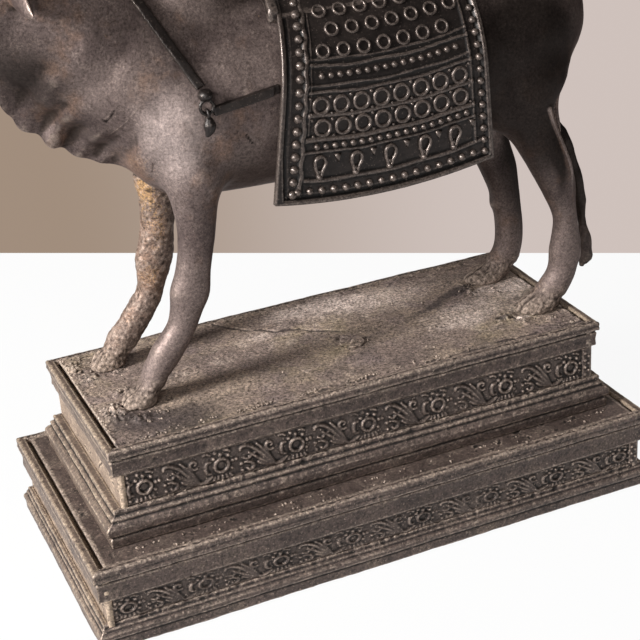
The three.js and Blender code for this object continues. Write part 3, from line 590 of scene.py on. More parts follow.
def plate(across_lines, up_lines, thick):
    """A closed plate. Its front is a grid at height 0, facing +Z; its back is one flat face."""
    x, y = (lines.ravel() for lines in np.meshgrid(across_lines, up_lines, indexing="ij"))
    front = np.stack([x, y, np.zeros(len(x))], axis=1)
    squares, border = grid_faces(len(across_lines), len(up_lines))
    back = front[border] - (0, 0, thick)
    rim = len(front) + np.arange(len(border))
    sides = np.stack([border, rim, np.roll(rim, -1), np.roll(border, -1)], axis=1)
    return np.concatenate([front, back]), [*squares.tolist(), *sides.tolist(), rim[::-1].tolist()], len(front)


def stand_plate(points, middle, side):
    """Stands a plate up so that its front faces out on one side of the plinth."""
    return turned(points[:, [0, 2, 1]] * (1, -1, 1), radians(TURNS[side])) + middle


def box_of(node):
    """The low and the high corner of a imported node, in millimetres from the plinth's middle."""
    return [np.array(corner) / MM - plinth_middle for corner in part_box(node)]


def bell(away, wide, power=2):
    """1 where away is 0, falling smoothly to nearly 0 at about twice the width."""
    return np.exp(-((away / wide) ** power))


# Painted light: a paler tan copy of the plinth bronze for the head end wall, which faces the key lamp
slip_bronze = bronze(
    "slip_bronze", tones=((0.13, 0.094, 0.072), (0.2, 0.15, 0.115)),
    dust=(0.33, 0.255, 0.195), dust_share=0.5, worn=(0.42, 0.33, 0.25), hollow_dirt_and_shade=(0.03, 0.021, 0.016),
    metal=0.25, rough=0.7, grain_depth=0.2, grit=0.6,
)

for tier, side in product(tiers, TURNS):
    node = f"{tier}_wall_{side}"
    low, high = box_of(node)
    end = side.endswith("end")
    wide, thick = (high[1] - low[1], high[0] - low[0]) if end else (high[0] - low[0], high[1] - low[1])
    step = WALL_STEP if end else 4 * WALL_STEP
    wall_points, wall_faces, fronts = plate(
        lines_between(-wide / 2, wide / 2, step), lines_between(low[2], high[2], step), thick
    )
    front = wall_points[:fronts]
    front[:, 2] = -0.12 + waves(front, (0.11, 17, 3), (0.05, 4.2, 5), (0.03, 1.7, 6))
    front[:, 2] -= 0.28 * bell(rumple(front * (1, 2.2, 1), 23, 8 + len(node)), 0.02)
    middle = (low if side in ("near", "head_end") else high) * ((1, 0, 0) if end else (0, 1, 0))
    cast_piece(
        node + "_casting", from_plinth(stand_plate(wall_points, middle, side)), wall_faces,
        slip_bronze if side == "head_end" else plinth_bronze, [node], "plinth",
        *((1.5, 3.0) if side == "tail_end" else (0.06, 0.2)), sheet=True,
    )

# Friezes: one cast strip on each long side of each tier, with rings and the curling leaves between
# them pressed into the wax before casting. The motif repeats and the metal has filled its hollows.
RING_PITCH = 43.9
FRIEZE_HIGH = 19.4  # the upper strip; the lower strip has the same motif, pressed flatter
FRIEZE_GROUND = 1.15
FRIEZE_VOXEL = 0.43
FAR_COARSER = 1.2  # the friezes of the far side are made of larger squares
CORNER_LAP = 3.0  # at the tail end the frieze laps over the end wall's edge,
WALL_PROUD = 1.2  # which stands this far in front of the frieze's ground


def tube(path, widths, sides=8):
    """A round bar along a path of [across, up, out] points; its ends are closed."""
    path = np.asarray(path, float)
    widths = np.interp(np.linspace(0, 1, len(path)), np.linspace(0, 1, len(widths)), widths)
    run = np.gradient(path, axis=0)
    run /= np.linalg.norm(run, axis=1)[:, None]
    lift = np.array([0, 0, 1.0])
    side = np.cross(run, lift)
    side /= np.maximum(np.linalg.norm(side, axis=1), 1e-6)[:, None]
    up = np.cross(side, run)
    turns = np.linspace(0, 2 * pi, sides, endpoint=False)
    rings = path[:, None] + (side[:, None] * np.cos(turns)[None, :, None]) * widths[:, None, None] / 2
    rings = rings + (up[:, None] * np.sin(turns)[None, :, None]) * widths[:, None, None] / 2
    points = rings.reshape(-1, 3)
    return points, bar_faces(len(path), sides)


def bent(stops, count, out):
    """A smooth path of [across, up] points through the stops, lying on the ground of the strip."""
    stops = np.asarray(stops, float)
    reach = np.concatenate([[2 * stops[0] - stops[1]], stops, [2 * stops[-1] - stops[-2]]])
    points = []
    for share in np.linspace(0, len(stops) - 1 - 1e-6, count):
        k, t = int(share), share - int(share)
        a, b, c, d = reach[k : k + 4]
        points.append(
            0.5 * (2 * b + (c - a) * t + (2 * a - 5 * b + 4 * c - d) * t**2 + (3 * b - a - 3 * c + d) * t**3)
        )
    return np.column_stack([np.array(points), np.full(len(points), out)])


def ball(middle, radius, squash=1.0, rings=6, sides=9):
    """A closed ball, its poles closed by single points."""
    points, faces = [np.asarray(middle, float) + (0, 0, radius * squash)], []
    for r in range(1, rings):
        tilt = pi * r / rings
        for k in range(sides):
            turn = 2 * pi * k / sides
            place = (
                radius * sin(tilt) * cos(turn), radius * sin(tilt) * sin(turn), radius * squash * cos(tilt)
            )
            points.append(np.asarray(middle, float) + place)
    points.append(np.asarray(middle, float) - (0, 0, radius * squash))
    for k in range(sides):
        faces.append([0, 1 + k, 1 + (k + 1) % sides])
        foot = 1 + (rings - 2) * sides
        faces.append([len(points) - 1, foot + (k + 1) % sides, foot + k])
        for r in range(rings - 2):
            a, b = 1 + r * sides + k, 1 + r * sides + (k + 1) % sides
            faces.append([a, a + sides, b + sides, b])
    return np.array(points), faces


def hoop(middle, radius, thick, sides, round_sides, squash):
    """A closed ring lying flat, its hole along Z."""
    points, faces = [], []
    for s in range(sides):
        turn = 2 * pi * s / sides
        for k in range(round_sides):
            roll = 2 * pi * k / round_sides
            reach = radius + thick / 2 * cos(roll)
            points.append((reach * cos(turn), reach * sin(turn), thick / 2 * squash * sin(roll)))
    for s in range(sides):
        for k in range(round_sides):
            a, b = s * round_sides + k, s * round_sides + (k + 1) % round_sides
            step = ((s + 1) % sides - s) * round_sides
            faces.append([a, a + step, b + step, b])
    return np.array(points) + middle, faces


def joined(parts):
    points, faces, start = [], [], 0
    for part_points, part_faces in parts:
        points.append(np.asarray(part_points, float))
        faces.extend([[int(k) + start for k in face] for face in part_faces])
        start += len(part_points)
    return np.concatenate(points), faces


def loose_object(points, faces):
    """A mesh in millimetres that is only an input of another step and is deleted after it."""
    mesh = bpy.data.meshes.new("scratch")
    mesh.from_pydata(np.asarray(points).tolist(), [], faces)
    return new_thing("scratch", mesh)


def discard(made):
    mesh = made.data
    bpy.data.objects.remove(made)
    bpy.data.meshes.remove(mesh)


def evaluated(made):
    """The points and faces of an object with its modifiers applied; the object is deleted."""
    graph = bpy.context.evaluated_depsgraph_get()
    mesh = bpy.data.meshes.new_from_object(made.evaluated_get(graph))
    points = read(mesh.vertices, "co", 3)
    starts = read(mesh.polygons, "loop_start", 1, int)
    totals = read(mesh.polygons, "loop_total", 1, int)
    corners = read(mesh.loops, "vertex_index", 1, int)
    if len(totals) and (totals == totals[0]).all():
        faces = corners.reshape(-1, totals[0])
    else:
        faces = [corners[s : s + t].tolist() for s, t in zip(starts, totals)]
    discard(made)
    bpy.data.meshes.remove(mesh)
    return points, faces


def fused(points, faces, voxel):
    """One skin round everything given, made of small squares of the voxel's size."""
    lump = loose_object(points, faces)
    remesh = lump.modifiers.new("fuse", "REMESH")
    remesh.mode = "VOXEL"
    remesh.voxel_size = voxel
    remesh.adaptivity = 0
    return evaluated(lump)


def strewing_tree():
    """Geometry Nodes: one shape set on every point, turned to the point's own directions."""
    tree = bpy.data.node_groups.new("strewn_shapes", "GeometryNodeTree")
    sockets = {
        name: tree.interface.new_socket(name, in_out=way, socket_type="NodeSocket" + kind).identifier
        for name, way, kind in (
            ("Places", "INPUT", "Geometry"), ("Shape", "INPUT", "Object"), ("Unevenness", "INPUT", "Float"),
            ("Material", "INPUT", "Material"), ("Row", "OUTPUT", "Geometry"),
        )
    }

    def node(kind, settings=None, inputs=None):
        return add_node(tree, kind, settings, inputs)

    given = node("NodeGroupInput").outputs
    thing = node("GeometryNodeObjectInfo", {"transform_space": "ORIGINAL"}, {"Object": given["Shape"]})
    facing, along, size = (
        node("GeometryNodeInputNamedAttribute", {"data_type": "FLOAT_VECTOR"}, {"Name": key}).outputs[0]
        for key in ("facing", "along", "size")
    )
    turn = node("FunctionNodeAlignRotationToVector", {"axis": "Z"}, {"Vector": facing}).outputs[0]
    settings = {"axis": "X", "pivot_axis": "Z"}
    turn = node("FunctionNodeAlignRotationToVector", settings, {"Rotation": turn, "Vector": along}).outputs[0]
    low = node("ShaderNodeMath", {"operation": "SUBTRACT"}, {0: 1.0, 1: given["Unevenness"]}).outputs[0]
    high = node("ShaderNodeMath", {"operation": "ADD"}, {0: 1.0, 1: given["Unevenness"]}).outputs[0]
    chance = node("FunctionNodeRandomValue", {"data_type": "FLOAT"}, {2: low, 3: high, "Seed": 11}).outputs[1]
    scale = node("ShaderNodeVectorMath", {"operation": "SCALE"}, {0: size, "Scale": chance}).outputs[0]
    inputs = {
        "Points": given["Places"], "Instance": thing.outputs["Geometry"], "Rotation": turn, "Scale": scale
    }
    placed = node("GeometryNodeInstanceOnPoints", None, inputs)
    real = node("GeometryNodeRealizeInstances", None, {0: placed.outputs[0]})
    painted = node("GeometryNodeSetMaterial", None, {0: real.outputs[0], "Material": given["Material"]})
    node("NodeGroupOutput", None, {0: painted.outputs[0]})
    return tree, sockets


strewn_tree, strewn_sockets = strewing_tree()


def strewn(shape, places, facing=(0, 0, 1), along=(1, 0, 0), size=(1, 1, 1), uneven=0.06, material=None):
    """The shape repeated at every place, all in millimetres."""
    places = np.asarray(places, float)
    host = loose_object(places, [])
    for key, value in (("facing", facing), ("along", along), ("size", size)):
        values = np.broadcast_to(np.asarray(value, float), places.shape)
        attribute = host.data.attributes.new(key, "FLOAT_VECTOR", "POINT")
        attribute.data.foreach_set("vector", np.ascontiguousarray(values, dtype=np.float32).ravel())
    pattern = loose_object(*shape)
    row = host.modifiers.new("row", "NODES")
    row.node_group = strewn_tree
    for key, value in (("Shape", pattern), ("Unevenness", uneven), ("Material", material or plinth_bronze)):
        row[strewn_sockets[key]] = value
    points, faces = evaluated(host)
    discard(pattern)
    return points, (faces.tolist() if isinstance(faces, np.ndarray) else faces)


def strand(stops, widths, out=0.35, count=16):
    return tube(bent(stops, count, out), np.asarray(widths) * 1.3)


winding = [(5.4 - 0.62 * k, 3.4 - 0.29 * k) for k in range(12)]  # angle and radius
spiral = [(28.5 + r * cos(a), 13.6 + r * sin(a)) for a, r in winding]
ring_shape = joined(
    [
        hoop((0, 8.8, 0.45), 3.9, 2.1, 28, 8, 1.25),
        *[ball((6.6 * cos(t), 8.8 + 6.6 * sin(t), 0.1), 1.2) for t in (-0.5, 0.2, 0.9, 1.6, 2.3)],
        ball((-3.2, 17.0, 0.1), 1.15),
        strand([(1.4, 17.6), (3.6, 17.4), (5.6, 16.0)], [0.9, 1.5, 1.0]),
        *[strand([(u, 0.5), (u * 0.82, 2.9)], [1.5, 1.0], 0.25, 4) for u in (-5.2, -2.7, 0, 2.7, 5.2)],
        strand(
            [(-5.9, 12.4), (-8.3, 11.8), (-9.2, 8.8), (-8.4, 5.9), (-6.0, 5.2)], [1.0, 1.7, 1.9, 1.7, 1.0]
        ),
    ]
)
leaf_shape = joined(
    [
        strand(
            [(31, 0.8), (27, 5), (23, 10), (18.6, 14.6), (14.4, 16.8), (11.5, 16), (11.3, 14.2)],
            [1.6, 2.0, 1.8, 1.3],
        ),
        strand([(30, 2), (27.3, 7.5), (24, 12.5), (20.6, 16.6)], [1.4, 1.9, 1.0]),
        strand([(31.5, 0.9), (26, 3.9), (20.8, 7.9), (15.8, 12.2)], [1.5, 1.9, 1.0]),
        strand([(29, 1.2), (23.5, 3.2), (20.6, 5.0)], [1.2, 1.6, 0.9]),
        strand([(13, 6.7), (15.2, 6.6), (18, 5), (18, 2.6), (15.7, 1.7), (14.4, 3.1)], [0.9, 1.6, 1.6, 1.1]),
        ball((8.5, 10.2, 0.1), 1.25),
        ball((11.3, 6.3, 0.1), 1.2),
        ball((11.6, 2.2, 0.1), 1.1),
        tube(bent(spiral, 34, 0.35), [1.7, 2.0, 1.8, 1.5]),
        strand([(31, 0.8), (34.5, 1.2), (38.5, 3.4)], [1.5, 2.0, 0.9]),
        strand([(33.4, 17.2), (35.6, 17.8), (38, 16.2)], [0.9, 1.4, 0.9]),
        strand([(20.2, 11.6), (17.6, 10.4), (15.2, 8.6), (12.6, 9.6)], [0.9, 1.3, 1.0]),
    ]
)


def box_shape(low, high):
    corners = list(product(*zip(low, high)))
    faces = [[0, 1, 3, 2], [4, 6, 7, 5], [0, 4, 5, 1], [2, 3, 7, 6], [0, 2, 6, 4], [1, 5, 7, 3]]
    return np.array(corners, float), faces


frieze_bronze = bronze(
    "frieze_bronze", tones=((0.045, 0.033, 0.029), (0.08, 0.06, 0.052)),
    dust=(0.21, 0.165, 0.13), dust_share=0.35, worn=(0.4, 0.32, 0.27), hollow_dirt_and_shade=(0.004, 0.003, 0.0027),
    metal=0.5, rough=0.46, grain_depth=0.15, grit=0.6,
)


def frieze(node, side, reach, first_ring, press, seed):
    """One strip: a ground plate, the row of rings, the row of leaves, then all fused and worn."""
    low, high = box_of(node)
    run, bottom, high = high[0] - low[0], low[2], high[2] - low[2]
    rings = np.arange(first_ring, run / 2 - 4, RING_PITCH)
    leaves = rings[rings + 39 < run / 2]
    before = [(rings[0] - RING_PITCH, 0.0, 0.0)] if rings[0] - RING_PITCH + 10 > -run / 2 else []
    scale = (1.0, high / FRIEZE_HIGH, press)
    near = side == "near"
    tail = 1 if near else -1
    start, stop = (-run / 2, run / 2 + CORNER_LAP) if near else (-run / 2 - CORNER_LAP, run / 2)
    ground = box_shape((start, 0, -FRIEZE_GROUND), (stop, high, 0))
    lap_low, lap_high = sorted((tail * (run / 2 - 2.4), tail * (run / 2 + CORNER_LAP)))
    lap = box_shape((lap_low, 0, -0.2), (lap_high, high, WALL_PROUD + 0.15))
    rim = [
        tube([(start + 0.4, level, 0.1), (stop - 0.4, level, 0.1)], [0.9, 0.9], 6)
        for level in (0.45, high - 0.45)
    ]
    edge_beads = [ball((-run / 2 + 1.6, level, 0.15), 1.1) for level in np.arange(2.2, high - 1.2, 2.9)]
    for k, level in enumerate(np.arange(2.4, high - 1.4, 2.3)):
        edge_beads.append(ball((tail * (run / 2 - 0.9 + 2.6 * (k % 2)), level, WALL_PROUD + 0.1), 1.15))
    row = strewn(ring_shape, [(x, 0, 0) for x in rings], size=scale, uneven=0.0)
    fan = strewn(leaf_shape, [(x, 0, 0) for x in leaves] + before, size=scale, uneven=0.0)
    whole = joined([ground, lap, *rim, *edge_beads, row, fan])
    points, faces = fused(*whole, FRIEZE_VOXEL * (1 if near else FAR_COARSER))
    points = relax(points, *edges_of(faces), 2, 0.45)
    points[:, 2] += unit(points[:, 2] / 0.6 + 1) * waves(points, (0.07, 3.4, seed), (0.05, 1.2, seed + 1))
    worn = unit(rumple(points * (1, 1, 0), 15, seed + 2) - 0.15)
    points[:, 2] = np.where(points[:, 2] > 0.25, points[:, 2] * (1 - 0.45 * worn), points[:, 2])
    beyond = unit(points[:, 0] * tail - run / 2 - CORNER_LAP + 1)
    points[:, 0] -= tail * beyond * (0.35 + 0.6 * rumple(points, 2.2, seed + 3))
    points = np.clip(points, (start, 0.02, -FRIEZE_GROUND), (stop, high - 0.02, np.inf))
    points[:, 1] += bottom
    stood = from_plinth(stand_plate(points, (0, -tail * reach, 0), side))
    cast_piece(node + "_casting", stood, faces, frieze_bronze, [node], "frieze", 0.09, 0.4, 16)


for side, seed in (("near", 20), ("far", 27)):
    for tier, first_ring, press in (("upper", -3, 1.0), ("lower", -3.5, 0.8)):
        reach = tiers[tier]["depth"] / 2 + (FRIEZE_GROUND + BRAZE_GAP)
        frieze(f"{tier}_frieze_{side}", side, reach, first_ring * RING_PITCH, press, seed)

# Ledge plate: the lower tier's top, a cast sheet let in between its cornices. Only the ring round the
# upper tier is seen. It is pitted, dusty and a little wavy, like the sand it was cast in.
LEDGE_STEP = 1.25


def plate_object(name, node, step, shape, finish, fine, coarse):
    """A plate of the plinth, its top shaped by a function of the place on it."""
    low, high = box_of(node)
    lines = [lines_between(low[axis], high[axis], step) for axis in (0, 1)]
    points, faces, fronts = plate(*lines, high[2] - low[2])
    points[:, 2] += high[2]
    points[:fronts, 2] += shape(points[:fronts])
    return cast_piece(
        name, from_plinth(points), faces, finish, [node], "plinth", fine, coarse, 14, sheet=True
    )


def ledge_shape(points):
    pits = unit(rumple(points, 3.1, 4) - 0.5) * unit(0.4 + rumple(points, 25, 5))
    return -0.1 + waves(points, (0.22, 30, 1), (0.13, 8, 2), (0.07, 2.6, 3)) - 1.1 * pits


plate_object("ledge_casting", "ledge_plate", LEDGE_STEP, ledge_shape, plinth_bronze, 0.1, 0.3)

# Deck plate: the upper tier's top. It is grainy and blotched, a crack runs over it from the middle,
# pits are left by the core, and braze has run up round the four hooves.
DECK_STEP = 0.72
deck_low, deck_high = box_of("deck_plate")
MOUNDS = [  # middle, radius and height of the braze heaped up round the hooves and the plug
    (-131, -14, 9, 2.6), (-131, -25, 9, 2.8), (-122, -34, 8, 2.0), (-121, 1, 8, 1.7), (-137, -19, 6, 1.5),
    (-110, -33, 6, 1.5), (-134, 49, 8, 2.0), (-138, 38, 8, 2.4), (-132, 27, 8, 2.2), (-116, 26, 7, 1.6),
    (-140, 44, 6, 1.6), (108, -26, 8, 2.0), (113, -36, 8, 1.7), (128, -40, 7, 1.3), (148, -30, 6, 1.2),
    (102, -31, 5, 1.2), (105, 23, 8, 1.9), (106, 13, 7, 1.8), (119, 9, 7, 1.3), (14, -10.5, 10, 1.9),
]
PITS = [  # middle, radius and depth
    (10.8, -1.1, 2.2, 1.5), (103.5, -27.5, 3.0, 2.6), (14, -14, 1.6, 0.8), (-126, -17, 1.9, 1.5),
    (121, -37, 1.5, 0.9),
]
CRACK = [
    (-50.5, 61), (-42.4, 48.5), (-36, 41), (-30.9, 36.7), (-25, 33), (-18.6, 27.6), (-12, 25.2), (-4.7, 22.3),
    (2, 16), (10.1, 11.7), (14, 8),
]
STREAK = [(112, 24), (98, 18), (85, 13), (70, 6), (56, 0)]
# Some pale entries are painted light: a highlight on the core plug at (14, -9), reflections right of the far
# hind hoof at (136, 9) and (116, 14), and two broad pools at (95, 0) and (35, 38) that lighten the deck where
# the bull's shadow falls
STAINS_AND_PAINTED_LIGHT = [  # middle, half lengths along and across, and strength: soot above 0, pale lime below 0
    (98, 20, 16, 7, 0.9), (74, 9, 20, 6, 0.55), (106, -27, 7, 5, 0.9), (125, -33, 9, 4, 0.45),
    (19, -13, 9, 8, 0.45), (-128, -33, 13, 9, 0.6), (-130, 30, 10, 8, 0.5), (-100, -52, 30, 5, 0.4),
    (60, -46, 26, 9, 0.35), (-121, -12, 7, 5, 0.4), (-104, -39, 34, 15, 0.95), (136, 9, 13, 8, -1.3),
    (116, 14, 7, 4, -1.1), (103.5, -27.5, 3.0, 2.0, 2.5), (116, -33, 7, 3, -0.9), (14, -9, 4.5, 3, -1.2),
    (-30, 24, 16, 6, -0.4), (8, 47, 40, 9, -0.55), (-104, -21, 7, 9, -0.5), (147, -25, 9, 12, -0.45),
    (-96, 6, 12, 5, -0.35), (85, -18, 22, 9, -0.3), (95, 0, 48, 34, -0.55), (35, 38, 50, 18, -0.5),
    (-40, 8, 40, 14, -0.25),
]


def off_path(points, stops):
    """How far each point is from a line through the stops."""
    stops = np.asarray(stops, float)
    away = np.full(len(points), 1e9)
    for a, b in zip(stops, stops[1:]):
        run = b - a
        share = unit(((points - a) @ run) / (run @ run))
        away = np.minimum(away, np.linalg.norm(points - a - share[:, None] * run, axis=1))
    return away


def off_crack(points):
    wander = points[:, :2] + 1.1 * np.stack([rumple(points, 4, 14), rumple(points, 4, 15)], axis=1)
    return off_path(wander, CRACK)


def deck_shape(points):
    lift = waves(points, (0.3, 46, 1), (0.16, 14, 2), (0.09, 4.4, 3), (0.1, 1.9, 4))
    lift += 0.12 * (unit(rumple(points, 9, 12) + 0.15) * unit(rumple(points, 1.7, 6)))
    bumpy = 0.75 + waves(points, (0.75, 2.0, 7), (0.45, 4.1, 8), (0.35, 1.3, 10))
    for x, y, radius, high in MOUNDS:
        near = ((points[:, 0] - x) ** 2 + (points[:, 1] - y) ** 2) / radius**2
        lift += high * np.exp(-2.2 * near) * np.clip(bumpy, 0.05, 2)
    for x, y, radius, deep in PITS:
        gap = np.hypot(points[:, 0] - x, points[:, 1] - y) / radius + 0.25 * rumple(points, 1.6, 9)
        lift -= deep * unit(1.1 - gap) ** 0.5
        lift += 0.2 * bell(gap - 1.5, 0.35)
    lift -= 1.25 * bell(off_crack(points), 0.8) * np.clip(0.75 + rumple(points, 7, 23), 0.1, 1)
    lift -= 0.22 * bell(rumple(points * (1, 1.6, 0), 38, 22), 0.02)
    pocks = unit(rumple(points, 2.3, 16) - 0.42)
    edge = np.minimum(deck_high[0] - np.abs(points[:, 0]), deck_high[1] - np.abs(points[:, 1]))
    lift += bell(edge, 1.6) * (0.35 * rumple(points, 2.1, 17) + 0.3)
    lift -= 1.4 * pocks * (0.35 + bell(edge, 5))
    front = points[:, 1] - deck_low[1]
    broken = unit(0.55 + rumple(points, 13, 19))
    lift -= 2.2 * unit(rumple(points, 2.1, 24) - 0.05) * broken * bell(front - 4.6, 2.2)
    lift -= 0.6 * broken * bell(front - 4.2 - 0.7 * rumple(points, 5, 20), 0.8)
    lift += 0.3 * bell(edge - 6 - rumple(points, 30, 18), 0.8) * (points[:, 0] > -20)
    return -0.22 + lift


def deck_finish():
    """The plinth's bronze with olive, ochre and grey-violet blotches, soot and pale lime, some of them
    painted light and shade.
    """
    paint = Paint("deck_bronze")
    relief, broad, stain_and_painted_light = paint.mark("relief"), paint.mark("broad"), paint.mark("stain_and_painted_light")
    paint.ground(paint.grain(38, 4, 0.62).between(0.4, 0.62), (0.185, 0.141, 0.123), (0.265, 0.206, 0.165))
    paint.coat(paint.grain(55, 4, 0.6, 5.3).between(0.5, 0.66) * 0.6, (0.235, 0.19, 0.122))
    paint.coat(paint.grain(30, 4, 0.6, 8.8).between(0.54, 0.68) * 0.55, (0.165, 0.127, 0.128))
    paint.coat(paint.grain(17, 5, 0.72, 14.2).between(0.5, 0.64) * 0.5, (0.095, 0.074, 0.068))
    speck = paint.grain(0.9, 3, 0.75, 7.7)
    patches = paint.grain(7, 5, 0.7, 2.2)
    dusted = (patches * 0.55 + speck * 0.45 - stain_and_painted_light * 0.1).between(0.52, 0.68)
    paint.coat(dusted * 0.5, (0.42, 0.35, 0.29))
    # Pale lime where the stain mark is below 0; at the plug's highlight, the reflections by the far hind hoof
    # and the two broad pools this is painted light
    paint.coat((stain_and_painted_light * -0.55 + patches * 0.35).between(0.24, 0.7) * 0.75, (0.6, 0.5, 0.455))
    # Soot where the stain mark is above 0; along the crack it is partly painted shade
    soot = (stain_and_painted_light * 0.6 + patches * 0.5).between(0.36, 0.8)
    paint.coat(soot * 0.8, (0.04, 0.031, 0.031))
    paint.coat(paint.grain(1.6, 3, 0.75, 12.1).between(0.56, 0.66) * 0.65, (0.03, 0.023, 0.02))
    # Dirt and painted shade: pits, grooves and broad hollows of the deck are darkened
    paint.coat((relief * -1).between(0.08, 0.7) * 0.8, (0.025, 0.02, 0.017))
    paint.coat((broad * -1).between(0.15, 0.8) * 0.6, (0.03, 0.025, 0.02))
    rubbed = relief.between(0.3, 0.9) * (1 - soot)
    paint.coat(rubbed * 0.5, (0.44, 0.37, 0.31))
    paint.grit(1.6, 1.0)
    metallic = 0.35 - dusted * 0.25
    return paint.show_metal(
        metallic, 0.62 + dusted * 0.2 - rubbed * 0.15, paint.grain(1.1, 3, 0.7, 9.2), 0.42
    )


deck_bronze = deck_finish()
deck_mesh = plate_object("deck_casting", "deck_plate", DECK_STEP, deck_shape, deck_bronze, 0.2, 0.9).data
deck_points = read(deck_mesh.vertices, "co", 3) / MM - plinth_middle
stains_and_painted_light = sum(
    strength * np.exp(-(((deck_points[:, 0] - x) / long) ** 2) - ((deck_points[:, 1] - y) / wide) ** 2)
    for x, y, long, wide, strength in STAINS_AND_PAINTED_LIGHT
)
# The crack is darkened: dirt in it, and painted shade
stains_and_painted_light += 1.6 * bell(off_crack(deck_points), 1.0)
stains_and_painted_light += 0.9 * bell(off_path(deck_points[:, :2], STREAK), 5) * unit(0.8 + 0.7 * rumple(deck_points, 4, 27))
from_front = deck_points[:, 1] - deck_low[1] - 3.6 - 0.9 * rumple(deck_points, 4, 25)
stains_and_painted_light += np.clip(0.35 + 1.6 * rumple(deck_points, 7, 26), 0, 1.2) * 1.3 * bell(from_front, 1.2)
store(deck_mesh, "stain_and_painted_light", np.clip(stains_and_painted_light, -1, 1))

# Crumbs: grains of braze and burnt clay left round the hooves, along the seams of the near side and
# in the corners of the ledge. They are stuck fast and paler than the bronze they sit on.
crumb = ball((0, 0, 0), 1.0, 0.75, 4, 6)
chance = np.random.default_rng(12)


def scattered(middle, reach, count):
    """Places round a point of the plinth, thicker towards the middle."""
    return np.array(middle) + chance.normal(0, 0.5, (count, 2)) * reach


def along_seam(low, high, across, reach, count):
    """Places along a seam, in clusters."""
    at = chance.uniform(low, high, count)
    at = at[rumple(np.stack([at, at * 0, at * 0], axis=1), 9, 61) > -0.15]
    return np.stack([at, across + chance.normal(0, 0.5, len(at)) * reach], axis=1)


def laid_on(spots, height):
    """The spots at a height, which is a number or a function of the place."""
    places = np.column_stack([spots, np.zeros(len(spots))])
    places[:, 2] = height(places) if callable(height) else height
    return places


on_deck = [scattered((x, y), (radius, radius * 0.8), int(2.2 * radius)) for x, y, radius, high in MOUNDS]
on_deck += [along_seam(-141, 141, 5.0 - deck_high[1], 2.6, 260)]
on_deck += [along_seam(30, 141, 5.0 - deck_high[1], 6, 60)]
on_deck += [np.stack([chance.uniform(-140, 140, 70), chance.uniform(-55, 55, 70)], axis=1)]
on_deck += [along_seam(-56, 56, 1.2 - deck_high[0], 1.2, 70)[:, ::-1]]
on_deck = np.concatenate(on_deck)
on_deck = on_deck[(np.abs(on_deck) < deck_high[:2] - 0.5).all(axis=1)]
on_ledge = [along_seam(-150, 150, 3.0 - tiers["lower"]["depth"] / 2, 2.4, 90)]
on_ledge += [along_seam(-150, 150, -67.5, 1.0, 110)]
on_foot = along_seam(-141, 141, -tiers["upper"]["depth"] / 2 - 1.9, 0.9, 170)
crumb_places = np.concatenate([
    laid_on(on_deck, lambda spots: deck_high[2] + deck_shape(spots)),
    laid_on(np.concatenate(on_ledge), lambda spots: tiers["lower"]["top"] + ledge_shape(spots)),
    laid_on(on_foot, tiers["upper"]["bottom"] + tiers["upper"]["bands"]["base"]),
])
crumb_facing = chance.normal(0, 0.5, crumb_places.shape) + (0, 0, 1)
crumb_along = chance.normal(0, 1, crumb_places.shape)
crumb_size = chance.uniform(0.3, 0.95, (len(crumb_places), 1)) ** 1.7
crumb_size = crumb_size * chance.uniform(0.7, 1.3, crumb_places.shape)
crumb_size[-len(on_foot) :] *= 0.6

crumb_clay = bronze(
    "crumb_clay", tones=((0.07, 0.053, 0.044), (0.17, 0.13, 0.105)),
    dust=(0.42, 0.34, 0.28), dust_share=0.6, worn=(0.42, 0.34, 0.28), hollow_dirt_and_shade=(0.05, 0.037, 0.03),
    metal=0.1, rough=0.75, grain_depth=0.1, grit=0.6,
)
crumb_points, crumb_faces = strewn(
    crumb, crumb_places, crumb_facing, crumb_along, crumb_size, 0.2, crumb_clay
)
crumbs = new_object("braze_crumbs", from_plinth(crumb_points), crumb_faces, crumb_clay)
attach(crumbs, "statue")

# Core plug and roves: the plug closes the hole left by the core pin in the middle of the deck. The
# roves are small bronze washers under the deck, over which the tangs of the hooves are peened.
body_tones = ((0.08, 0.06, 0.057), (0.14, 0.108, 0.1))
EDGE_TINT = (0.45, 0.4, 0.38, 1)  # old bronze doesn't glare at its edges


